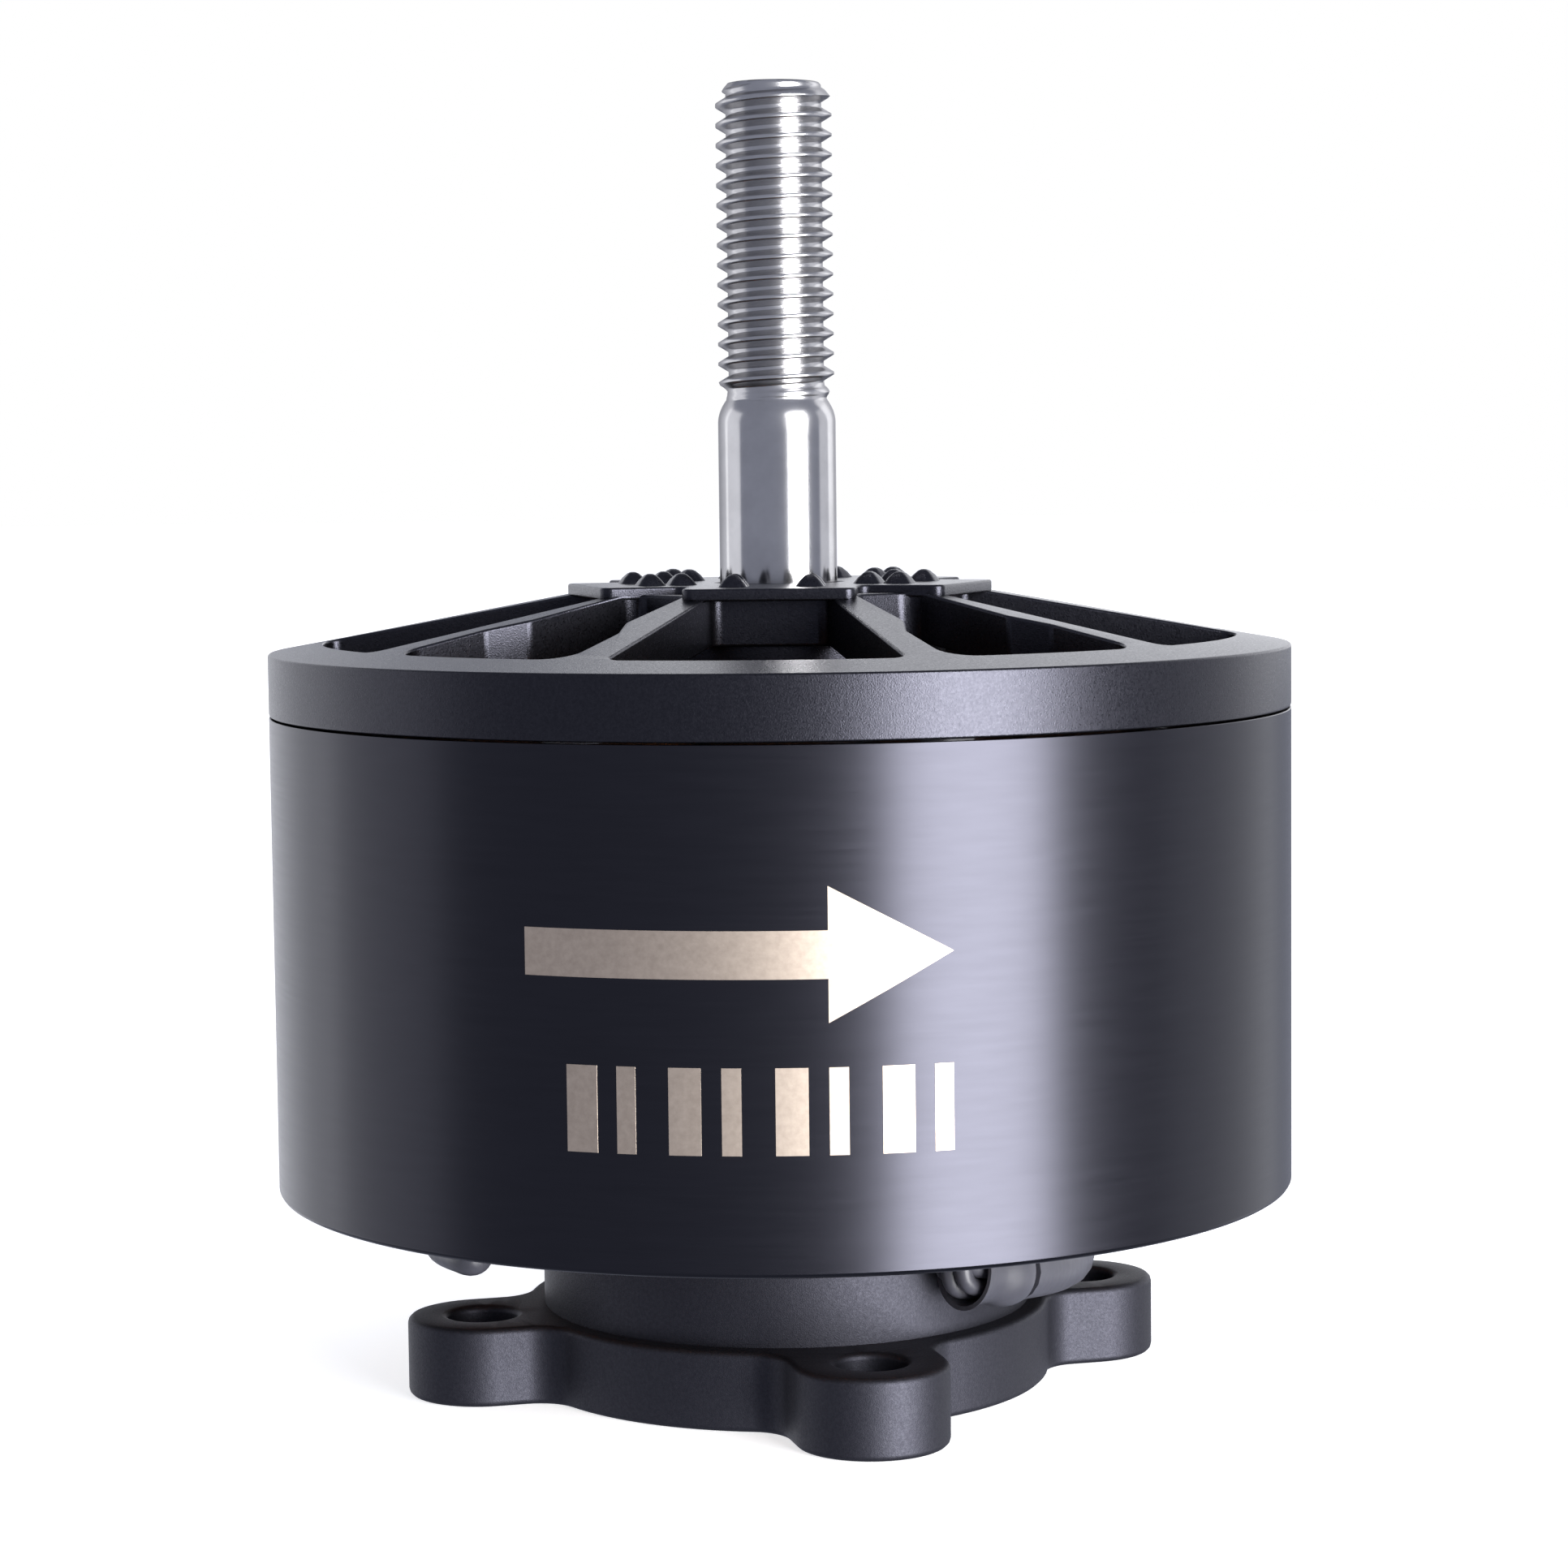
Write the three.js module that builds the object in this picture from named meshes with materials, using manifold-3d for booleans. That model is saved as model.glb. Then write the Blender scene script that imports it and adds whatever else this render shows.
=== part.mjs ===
// Brushless outrunner motor: a turning bell with magnets around a wound stator on a four-armed base.
// Millimetres, +Z along the shaft, origin on the shaft axis at the base's underside.
// Azimuths are in degrees, from the front (-Y) towards +X.
import * as THREE from 'three';
import { mergeVertices } from 'three/addons/utils/BufferGeometryUtils.js';
import Module from 'manifold-3d';

const wasm = await Module();
wasm.setup();

// Driving dimensions
const BELL_RADIUS = 26;
const BELL_WALL = 2;
const BELL_BOTTOM = 10.26;
const SPLIT_Z = 34.6;
const SPLIT_GAP = 0.3;
const RIM_TOP = 37.65;
const CAP_SLOPE = 0.185;
const CAP_THICKNESS = 2.5;
const HUB_TOP = 40.9;
const HUB_BOTTOM = 33.9;
const HUB_RADIUS = 8.5;
const LOBES = 5;
const LOBE_AZIMUTH = -2.8;
const LOBE_REACH = 10.2;
const LOBE_HALF_WIDTH = 4.25;
const SHAFT_RADIUS = 3;
const SHAFT_BOTTOM = 0.5;
const SHAFT_TOP = 66.1;
const THREAD_BOTTOM = 50.1;
const THREAD_PITCH = 1;
const THREAD_DEPTH = 0.55;
const PLATE_THICKNESS = 4;
const WEB_RADIUS = 13.55;
const BOSS_RADIUS = 12.5;
const BOSS_TOP = 8.6;
const ARMS = 4;
const ARM_AZIMUTH = 14.5;
const ARM_RADIUS = 3.8;
const BOLT_CIRCLE_RADIUS = 16;
const BOLT_HOLE_RADIUS = 1.75;
const ARM_FILLET = 2;
const TUBE_RADIUS = 8;
const TUBE_TOP = 33.4;
const BEARING_RADIUS = 6.5;
const BEARING_WIDTH = 5;
const BEARING_BOTTOMS = { lower: 1.7, upper: 28.3 };
const STATOR_RADIUS = 21.5;
const STATOR_BOTTOM = 12.4;
const STATOR_TOP = 32.4;
const SLOTS = 12;
const TOOTH_HALF_WIDTH = 1.7;
const YOKE_RADIUS = 11.6;
const TIP_INNER_RADIUS = 20.1;
const TIP_THICKNESS = 0.7;
const TIP_ANGLE = 12.6;
const INSULATOR = 0.5;
const INSULATOR_SETBACK = 0.3;
const END_TURN = 2.2;
const MAGNETS = 14;
const MAGNET_INNER = 21.95;
const MAGNET_OUTER = 23.8;
const MAGNET_SPAN = 22.5;
const MAGNET_BOTTOM = 11.4;
const MAGNET_TOP = 32;
const LEAD_RADIUS = 1.55;
const COLLAR_RADIUS = 1.75;
const LEAD_END_RADIUS = 1.0;
const LEAD_END_LENGTH = 6;
const FIT = 0.1;
const GAP = 0.3;
const CHAMFER = 0.3;

const DEGREE = Math.PI / 180;

function polar(radius, azimuth, z = 0) {
  return new THREE.Vector3(radius * Math.sin(azimuth * DEGREE), -radius * Math.cos(azimuth * DEGREE), z);
}

// A closed geometry with merged corners, no empty triangles, and its faces pointing out.
function closed(source) {
  const bare = source.index ? source.toNonIndexed() : source.clone();
  bare.deleteAttribute('normal');
  bare.deleteAttribute('uv');
  const merged = mergeVertices(bare, 1e-4);
  const at = merged.attributes.position;
  const corners = [];
  let volume = 0;
  const [p, q, r] = [new THREE.Vector3(), new THREE.Vector3(), new THREE.Vector3()];
  for (let i = 0; i < merged.index.count; i += 3) {
    const [a, b, c] = [0, 1, 2].map((k) => merged.index.getX(i + k));
    if (a === b || b === c || c === a) continue;
    corners.push([a, b, c]);
    const normal = q.fromBufferAttribute(at, b).cross(r.fromBufferAttribute(at, c));
    volume += p.fromBufferAttribute(at, a).dot(normal);
  }
  const outward = volume < 0 ? corners.map(([a, b, c]) => [a, c, b]) : corners;
  merged.setIndex(outward.flat());
  return merged;
}

function solidOf(geometry) {
  const { attributes, index } = closed(geometry);
  return new wasm.Manifold(new wasm.Mesh({
    numProp: 3,
    vertProperties: new Float32Array(attributes.position.array),
    triVerts: new Uint32Array(index.array),
  }));
}

function geometryOf(solid) {
  const { vertProperties, triVerts } = solid.getMesh();
  const geometry = new THREE.BufferGeometry();
  geometry.setAttribute('position', new THREE.BufferAttribute(new Float32Array(vertProperties), 3));
  geometry.setIndex([...triVerts]);
  return geometry;
}

// A profile of [radius, z] points turned about Z. It closes on itself or ends on the axis.
function turned(profile, segments = 40) {
  const onAxis = profile[0][0] === 0 && profile.at(-1)[0] === 0;
  const points = [...profile, ...(onAxis ? [] : [profile[0]])].map(([x, y]) => new THREE.Vector2(x, y));
  return closed(new THREE.LatheGeometry(points, segments).rotateX(Math.PI / 2));
}

function ring(inner, outer, bottom, top, segments) {
  return turned([[inner, bottom], [outer, bottom], [outer, top], [inner, top]], segments);
}

function extruded(shape, bottom, top, curveSegments = 4) {
  const depth = top - bottom;
  const geometry = new THREE.ExtrudeGeometry(shape, { depth, bevelEnabled: false, curveSegments });
  return closed(geometry.translate(0, 0, bottom));
}

// A closed outline through [radius, azimuth] points, in the plane seen from above.
function outline(points) {
  return new THREE.Shape(points.map(([radius, azimuth]) => {
    const { x, y } = polar(radius, azimuth);
    return new THREE.Vector2(x, y);
  }));
}

function arcPoints(radius, from, to, steps) {
  return Array.from({ length: steps + 1 }, (_, i) => [radius, from + ((to - from) * i) / steps]);
}

// A round tube along a curve, with flat ends.
function tube(curve, radius, steps, sides = 8) {
  const section = new THREE.Shape();
  section.absarc(0, 0, radius, 0, 2 * Math.PI);
  return closed(new THREE.ExtrudeGeometry(section, {
    steps, extrudePath: curve, bevelEnabled: false, curveSegments: sides / 2,
  }));
}

const finishes = {
  anodised: { color: 0x2b2c36, roughness: 0.35, metalness: 0.9 },
  steel: { color: 0xb9bcc4, roughness: 0.28, metalness: 1 },
  magnet: { color: 0x8e9097, roughness: 0.4, metalness: 0.9 },
  lamination: { color: 0x35363a, roughness: 0.6, metalness: 0.6 },
  insulation: { color: 0x1f3327, roughness: 0.55, metalness: 0 },
  winding: { color: 0xa85a2a, roughness: 0.35, metalness: 0.7 },
  cage: { color: 0xc9a35a, roughness: 0.4, metalness: 0.8 },
  sleeve: { color: 0x55565f, roughness: 0.4, metalness: 0 },
  tin: { color: 0xc8cacf, roughness: 0.3, metalness: 1 },
};

function piece(group, name, geometry, finish) {
  const mesh = new THREE.Mesh(geometry, new THREE.MeshStandardMaterial(finishes[finish]));
  mesh.name = name;
  group.add(mesh);
  return mesh;
}

const motor = new THREE.Group();
const fixed = new THREE.Group();
const rotor = new THREE.Group();
motor.add(fixed, rotor);

// Base: a plate with four arms, a round boss, and the tube that holds both bearings.
function armedPlate() {
  const shape = new THREE.Shape();
  const filletOffset = ARM_RADIUS + ARM_FILLET;
  const filletAlong = Math.sqrt((WEB_RADIUS + ARM_FILLET) ** 2 - filletOffset ** 2);
  const webAngle = Math.atan2(filletOffset, filletAlong);
  for (let arm = 0; arm < ARMS; arm += 1) {
    const turn = (ARM_AZIMUTH - 90 + (360 / ARMS) * arm) * DEGREE;
    const place = (along, across) => new THREE.Vector2(along, across).rotateAround(new THREE.Vector2(), turn);
    const before = place(filletAlong, -filletOffset);
    const after = place(filletAlong, filletOffset);
    const end = place(BOLT_CIRCLE_RADIUS, 0);
    const quarter = Math.PI / 2;
    shape.absarc(before.x, before.y, ARM_FILLET, turn + Math.PI - webAngle, turn + quarter, true);
    shape.absarc(end.x, end.y, ARM_RADIUS, turn - quarter, turn + quarter, false);
    shape.absarc(after.x, after.y, ARM_FILLET, turn - quarter, turn - Math.PI + webAngle, true);
    const nextTurn = turn + (2 * Math.PI) / ARMS;
    shape.absarc(0, 0, WEB_RADIUS, turn + webAngle, nextTurn - webAngle, false);
  }
  return extruded(shape, 0, PLATE_THICKNESS, 5);
}

function mountingBase() {
  const seat = BEARING_RADIUS + FIT;
  const shoulder = 5.8;
  const shoulderBottom = BEARING_BOTTOMS.lower + BEARING_WIDTH + FIT;
  const shoulderTop = BEARING_BOTTOMS.upper - FIT;
  const edge = 0.4;
  const tubeBody = turned([
    [seat, 0], [BOSS_RADIUS, 0], [BOSS_RADIUS, BOSS_TOP - edge], [BOSS_RADIUS - edge, BOSS_TOP],
    [TUBE_RADIUS, BOSS_TOP], [TUBE_RADIUS, TUBE_TOP], [seat, TUBE_TOP],
    [seat, shoulderTop], [shoulder, shoulderTop], [shoulder, shoulderBottom], [seat, shoulderBottom],
  ], 48);
  let base = solidOf(armedPlate());
  const middle = new THREE.CylinderGeometry(BOSS_RADIUS - 1, BOSS_RADIUS - 1, 3 * PLATE_THICKNESS, 48);
  base = base.subtract(solidOf(middle.rotateX(Math.PI / 2))).add(solidOf(tubeBody));
  for (let arm = 0; arm < ARMS; arm += 1) {
    const { x, y } = polar(BOLT_CIRCLE_RADIUS, ARM_AZIMUTH + (360 / ARMS) * arm);
    const hole = new THREE.CylinderGeometry(BOLT_HOLE_RADIUS, BOLT_HOLE_RADIUS, 3 * PLATE_THICKNESS, 16);
    base = base.subtract(solidOf(hole.rotateX(Math.PI / 2).translate(x, y, 0)));
  }
  return geometryOf(base);
}
piece(fixed, 'mounting_base', mountingBase(), 'anodised');

// Stator: the laminated core with twelve T-shaped teeth, an insulator on each face, and a coil on each tooth.
function toothOutline(tipRadius) {
  const points = [];
  const pitch = 360 / SLOTS;
  const stemAngle = (radius) => Math.asin(TOOTH_HALF_WIDTH / radius) / DEGREE;
  for (let slot = 0; slot < SLOTS; slot += 1) {
    const middle = pitch * slot;
    points.push([YOKE_RADIUS, middle - stemAngle(YOKE_RADIUS)]);
    points.push([TIP_INNER_RADIUS, middle - stemAngle(TIP_INNER_RADIUS)]);
    points.push([tipRadius - TIP_THICKNESS, middle - TIP_ANGLE]);
    points.push(...arcPoints(tipRadius, middle - TIP_ANGLE, middle + TIP_ANGLE, 4));
    points.push([tipRadius - TIP_THICKNESS, middle + TIP_ANGLE]);
    points.push([TIP_INNER_RADIUS, middle + stemAngle(TIP_INNER_RADIUS)]);
    points.push([YOKE_RADIUS, middle + stemAngle(YOKE_RADIUS)]);
    points.push([YOKE_RADIUS, middle + pitch / 2]);
  }
  return points;
}

function statorSlice(bottom, top, tipRadius) {
  const shape = outline(toothOutline(tipRadius));
  const bore = new THREE.Path();
  bore.absarc(0, 0, TUBE_RADIUS + FIT, 0, 2 * Math.PI);
  shape.holes.push(bore);
  return extruded(shape, bottom, top, 16);
}

const SLICE_GAP = 0.05;
const insulatorRadius = STATOR_RADIUS - INSULATOR_SETBACK;
const upperInsulator = statorSlice(STATOR_TOP + SLICE_GAP, STATOR_TOP + INSULATOR, insulatorRadius);
const lowerInsulator = statorSlice(STATOR_BOTTOM - INSULATOR, STATOR_BOTTOM - SLICE_GAP, insulatorRadius);
piece(fixed, 'stator_core', statorSlice(STATOR_BOTTOM, STATOR_TOP, STATOR_RADIUS), 'lamination');
piece(fixed, 'insulator_upper', upperInsulator, 'insulation');
piece(fixed, 'insulator_lower', lowerInsulator, 'insulation');

// One coil: a rounded loop about its tooth, laid in X-Z and run outwards along the tooth.
function coil() {
  const inner = TOOTH_HALF_WIDTH + 0.15;
  const outer = inner + 1.2;
  const [low, high] = [STATOR_BOTTOM - INSULATOR - 0.1, STATOR_TOP + INSULATOR + 0.1];
  const [bottom, top] = [STATOR_BOTTOM - INSULATOR - END_TURN, STATOR_TOP + INSULATOR + END_TURN];
  const corner = 1.4;
  const shape = new THREE.Shape();
  shape.absarc(outer - corner, top - corner, corner, 0, Math.PI / 2);
  shape.absarc(corner - outer, top - corner, corner, Math.PI / 2, Math.PI);
  shape.absarc(corner - outer, bottom + corner, corner, Math.PI, 1.5 * Math.PI);
  shape.absarc(outer - corner, bottom + corner, corner, 1.5 * Math.PI, 2 * Math.PI);
  shape.holes.push(new THREE.Path([
    new THREE.Vector2(-inner, low), new THREE.Vector2(-inner, high),
    new THREE.Vector2(inner, high), new THREE.Vector2(inner, low),
  ]));
  const [from, to] = [12.3, TIP_INNER_RADIUS - 0.5];
  const loop = new THREE.ExtrudeGeometry(shape, { depth: to - from, bevelEnabled: false, curveSegments: 2 });
  // The outline stands upright, and the coil runs towards the front.
  return closed(loop.rotateX(Math.PI / 2).translate(0, -from, 0));
}
for (let slot = 0; slot < SLOTS; slot += 1) {
  const name = `coil_${String(slot + 1).padStart(2, '0')}`;
  piece(fixed, name, coil(), 'winding').rotation.z = (360 / SLOTS) * slot * DEGREE;
}

// The sleeve over the windings' star joint, tucked under the coils on the left.
function capsule(from, to, radius) {
  const along = new THREE.Vector3().subVectors(to, from);
  const geometry = new THREE.CapsuleGeometry(radius, along.length() - 2 * radius, 3, 10);
  geometry.applyQuaternion(new THREE.Quaternion().setFromUnitVectors(
    new THREE.Vector3(0, 1, 0), along.clone().normalize()));
  const middle = from.clone().add(to).multiplyScalar(0.5);
  return closed(geometry.translate(middle.x, middle.y, middle.z));
}
piece(fixed, 'star_joint_sleeve', capsule(polar(18.6, -69, 8.35), polar(18.6, -53, 8.35), 1.1), 'sleeve');

// Ball bearings: fixed outer rings, turning inner rings, and a cage of balls between them.
const BALLS = 7;
const BALL_CIRCLE = 4.75;
const BALL_RADIUS = 0.7;
const RACE_RADII = { outer: 5.55, inner: 3.95 };
function ballCage(bottom) {
  const middle = bottom + BEARING_WIDTH / 2;
  const [inner, outer] = [BALL_CIRCLE - 0.3, BALL_CIRCLE + 0.3];
  const halfHeight = 0.5;
  let cage = solidOf(ring(inner, outer, middle - halfHeight, middle + halfHeight, 3 * BALLS));
  for (let ball = 0; ball < BALLS; ball += 1) {
    const { x, y } = polar(BALL_CIRCLE, (360 / BALLS) * ball);
    cage = cage.add(solidOf(new THREE.IcosahedronGeometry(BALL_RADIUS, 0).translate(x, y, middle)));
  }
  return geometryOf(cage);
}
for (const [level, bottom] of Object.entries(BEARING_BOTTOMS)) {
  const top = bottom + BEARING_WIDTH;
  piece(fixed, `${level}_bearing_outer`, ring(RACE_RADII.outer, BEARING_RADIUS, bottom, top, 40), 'steel');
  const innerRace = ring(SHAFT_RADIUS + FIT, RACE_RADII.inner, bottom, top, 32);
  piece(rotor, `${level}_bearing_inner`, innerRace, 'steel');
  piece(motor, `${level}_ball_cage`, ballCage(bottom), 'cage');
}

// Phase leads: each comes out of a collar under the coils, runs to the back and lies on the ground.
const LEAD_Z = LEAD_RADIUS + 0.1;
const at = (x, y, z) => new THREE.Vector3(x, y, z);
const leadRoutes = {
  a: {
    collar: [polar(14.4, 37, 7.5), polar(14.4, 43.5, 7.25), polar(14.4, 50, 7.05)],
    lead: [
      polar(14.4, 51.5, 7), polar(14.4, 62, 6.75), polar(14.4, 74, 6.45), polar(14.4, 86, 6.15),
      polar(14.4, 98, 5.95), polar(14.4, 110, 5.8), at(12.8, 8.6, 5.7),
      at(12.5, 12.5, 5.2), at(12.3, 17, 3.9), at(12.2, 22, 2.6),
      at(12.1, 27, 1.85), at(12, 32, LEAD_Z), at(12, 38, LEAD_Z),
      at(12.2, 48, LEAD_Z), at(12.8, 60, LEAD_Z),
      at(13.2, 72, LEAD_Z), at(13.2, 82, LEAD_Z),
    ],
  },
  b: {
    collar: [at(7.2, 13.6, 7.9), at(7.7, 15.4, 7.7), at(8, 17.3, 7.2)],
    lead: [
      at(8.05, 17.65, 7.1), at(8.1, 21, 5.8), at(8.1, 24, 4.3),
      at(8.05, 27, 3), at(8, 30, 2.2), at(8, 33, 1.8),
      at(8, 36.5, LEAD_Z), at(8, 40, LEAD_Z), at(8.05, 45, LEAD_Z),
      at(8.1, 50, LEAD_Z), at(8.2, 56, LEAD_Z), at(8.3, 62, LEAD_Z),
      at(8.4, 68, LEAD_Z), at(8.35, 74, LEAD_Z), at(8.2, 80, LEAD_Z),
    ],
  },
  c: {
    collar: [at(2.9, 14.4, 7.8), at(3.2, 16.2, 7.5), at(3.5, 18, 7)],
    lead: [
      at(3.55, 18.35, 6.9), at(3.65, 21.5, 5.6), at(3.75, 24.5, 4.2),
      at(3.8, 27.5, 3), at(3.85, 30.5, 2.2), at(3.9, 33.5, 1.8),
      at(3.9, 37, LEAD_Z), at(3.9, 41, LEAD_Z), at(3.85, 46, LEAD_Z),
      at(3.75, 51, LEAD_Z), at(3.6, 56, LEAD_Z), at(3.5, 61, LEAD_Z),
      at(3.4, 67, LEAD_Z), at(3.35, 72.5, LEAD_Z), at(3.4, 78, LEAD_Z),
    ],
  },
};
for (const [phase, { collar, lead }] of Object.entries(leadRoutes)) {
  const route = new THREE.CatmullRomCurve3(lead);
  const tip = route.getPointAt(1);
  const heading = route.getTangentAt(1);
  const endFrom = tip.clone().addScaledVector(heading, GAP);
  const endTo = endFrom.clone().addScaledVector(heading, LEAD_END_LENGTH);
  const collarCurve = new THREE.CatmullRomCurve3(collar);
  const endCurve = new THREE.LineCurve3(endFrom, endTo);
  piece(fixed, `lead_collar_${phase}`, tube(collarCurve, COLLAR_RADIUS, 4), 'sleeve');
  piece(fixed, `phase_lead_${phase}`, tube(route, LEAD_RADIUS, Math.round(route.getLength() / 4)), 'sleeve');
  piece(fixed, `lead_end_${phase}`, tube(endCurve, LEAD_END_RADIUS, 1), 'tin');
}

// Bell: the steel flux ring, its magnets, and the cap with five lobes and ten spokes.
const RING_TOP = SPLIT_Z - SPLIT_GAP / 2;
piece(rotor, 'flux_ring', turned([
  [BELL_RADIUS - BELL_WALL, BELL_BOTTOM], [BELL_RADIUS - CHAMFER, BELL_BOTTOM],
  [BELL_RADIUS, BELL_BOTTOM + CHAMFER], [BELL_RADIUS, RING_TOP], [BELL_RADIUS - BELL_WALL, RING_TOP],
], 72), 'anodised');

for (let magnet = 0; magnet < MAGNETS; magnet += 1) {
  const middle = (360 / MAGNETS) * magnet;
  const [from, to] = [middle - MAGNET_SPAN / 2, middle + MAGNET_SPAN / 2];
  const shape = outline([...arcPoints(MAGNET_OUTER, from, to, 6), ...arcPoints(MAGNET_INNER, to, from, 6)]);
  const name = `magnet_${String(magnet + 1).padStart(2, '0')}`;
  piece(rotor, name, extruded(shape, MAGNET_BOTTOM, MAGNET_TOP), 'magnet');
}

const WINDOW_OUTER = 23.2;
const SPIGOT_OUTER = BELL_RADIUS - BELL_WALL - 0.2;
const SPIGOT_INNER = 22.6;
const SPIGOT_BOTTOM = 32.6;
const SPOKE_SIDE = 17.2;
const SPOKE_FAR_SIDE = 22.3;
const SPOKE_ROOT_SIDE = 24.8;
const KINK_RADII = [15.8, 17.9];
const PAD_HEIGHT = 0.4;
const PAD_REACH = 4.7;

function capTop(radius) {
  return RIM_TOP + CAP_SLOPE * (BELL_RADIUS - CHAMFER - radius);
}

// An outline with its sharp corners rounded. The points along an arc stay as they are.
function rounded(points, radius, steps = 2) {
  const flat = points.map(([r, azimuth]) => polar(r, azimuth)).map(({ x, y }) => new THREE.Vector2(x, y));
  const shape = flat.flatMap((corner, i) => {
    const back = flat.at(i - 1).clone().sub(corner);
    const on = flat[(i + 1) % flat.length].clone().sub(corner);
    const bend = Math.PI - Math.acos(back.dot(on) / (back.length() * on.length()));
    if (bend < 12 * DEGREE) return [corner];
    const reach = Math.min(radius, back.length() / 2.2, on.length() / 2.2);
    const curve = new THREE.QuadraticBezierCurve(
      corner.clone().addScaledVector(back.normalize(), reach), corner,
      corner.clone().addScaledVector(on.normalize(), reach));
    return curve.getPoints(steps);
  });
  return new THREE.Shape(shape);
}

// The window over a lobe's middle, between its two spokes.
function lobeWindow(azimuth) {
  return rounded([
    [LOBE_REACH, azimuth - SPOKE_SIDE],
    ...arcPoints(WINDOW_OUTER, azimuth - SPOKE_SIDE, azimuth + SPOKE_SIDE, 5),
    [LOBE_REACH, azimuth + SPOKE_SIDE],
  ], 0.7);
}

// The longer window between two lobes, which narrows towards the hub.
function betweenWindow(azimuth) {
  const half = 180 / LOBES;
  const [wide, narrow] = [half - SPOKE_FAR_SIDE, half - SPOKE_ROOT_SIDE];
  return rounded([
    [HUB_RADIUS + 0.8, azimuth - narrow], [KINK_RADII[0], azimuth - narrow], [KINK_RADII[1], azimuth - wide],
    ...arcPoints(WINDOW_OUTER, azimuth - wide, azimuth + wide, 4),
    [KINK_RADII[1], azimuth + wide], [KINK_RADII[0], azimuth + narrow], [HUB_RADIUS + 0.8, azimuth + narrow],
  ], 1.3);
}

function topCap() {
  const bore = SHAFT_RADIUS + FIT;
  const rimBottom = SPLIT_Z + SPLIT_GAP / 2;
  const underside = (radius) => capTop(radius) - CAP_THICKNESS;
  let cap = solidOf(turned([
    [bore, HUB_BOTTOM], [HUB_RADIUS, HUB_BOTTOM], [HUB_RADIUS, underside(HUB_RADIUS)],
    [SPIGOT_INNER, underside(SPIGOT_INNER)], [SPIGOT_INNER, SPIGOT_BOTTOM], [SPIGOT_OUTER, SPIGOT_BOTTOM],
    [SPIGOT_OUTER, rimBottom], [BELL_RADIUS, rimBottom], [BELL_RADIUS, RIM_TOP - CHAMFER],
    [BELL_RADIUS - CHAMFER, RIM_TOP], [LOBE_REACH, capTop(LOBE_REACH)], [bore, capTop(LOBE_REACH)],
  ], 72));
  const [low, high] = [SPIGOT_BOTTOM - 1, HUB_TOP + 1];
  for (let lobe = 0; lobe < LOBES; lobe += 1) {
    const azimuth = LOBE_AZIMUTH + (360 / LOBES) * lobe;
    cap = cap.subtract(solidOf(extruded(lobeWindow(azimuth), low, high)));
    cap = cap.subtract(solidOf(extruded(betweenWindow(azimuth + 180 / LOBES), low, high)));
  }
  for (let lobe = 0; lobe < LOBES; lobe += 1) {
    const azimuth = LOBE_AZIMUTH + (360 / LOBES) * lobe;
    cap = cap.add(solidOf(lobePad(azimuth)));
  }
  const passage = new THREE.CylinderGeometry(bore, bore, 20, 32).rotateX(Math.PI / 2);
  cap = cap.subtract(solidOf(passage.translate(0, 0, HUB_TOP)));
  for (const azimuth of setScrewAzimuths) {
    cap = cap.subtract(solidOf(screwRod(azimuth, SET_SCREW_RADIUS + FIT, ...SCREW_HOLE_REACH)));
  }
  return geometryOf(cap);
}

// A lobe's flat pad, with two by two pyramids that grip the propeller.
function lobePad(azimuth) {
  const [half, corner] = [LOBE_HALF_WIDTH, 0.5];
  const pad = new THREE.Shape([
    [-half, -PAD_REACH], [-half, -LOBE_REACH + corner], [-half + corner, -LOBE_REACH],
    [half - corner, -LOBE_REACH], [half, -LOBE_REACH + corner], [half, -PAD_REACH], [0, 0],
  ].map(([x, y]) => new THREE.Vector2(x, y)));
  let solid = solidOf(extruded(pad, HUB_TOP - PAD_HEIGHT - 0.3, HUB_TOP));
  const [across, base, height] = [1.9, 0.99, 0.6];
  for (const x of [-across, across]) {
    for (const radius of [5.6, 7.2]) {
      const spike = new THREE.ConeGeometry(base, height + 0.2, 4).rotateY(Math.PI / 4).rotateX(Math.PI / 2);
      solid = solid.add(solidOf(spike.translate(x, -radius, HUB_TOP + height / 2 - 0.1)));
    }
  }
  return geometryOf(solid).rotateZ(azimuth * DEGREE);
}

// Two set screws grip the shaft from between the lobes.
const setScrewAzimuths = [LOBE_AZIMUTH + 180 / LOBES, LOBE_AZIMUTH + 180 / LOBES + 144];
const SET_SCREW_Z = 37;
const SET_SCREW_RADIUS = 1.4;
const SCREW_HOLE_REACH = [SHAFT_RADIUS - 0.5, HUB_RADIUS + 3.5];
function screwRod(azimuth, radius, from, to) {
  const rod = new THREE.CylinderGeometry(radius, radius, to - from, 12).translate(0, -(from + to) / 2, 0);
  return closed(rod.translate(0, 0, SET_SCREW_Z).rotateZ(azimuth * DEGREE));
}
piece(rotor, 'top_cap', topCap(), 'anodised');
setScrewAzimuths.forEach((azimuth, i) => {
  const screw = screwRod(azimuth, SET_SCREW_RADIUS, SHAFT_RADIUS + 0.2, HUB_RADIUS - GAP);
  piece(rotor, `set_screw_${i + 1}`, screw, 'steel');
});

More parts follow.
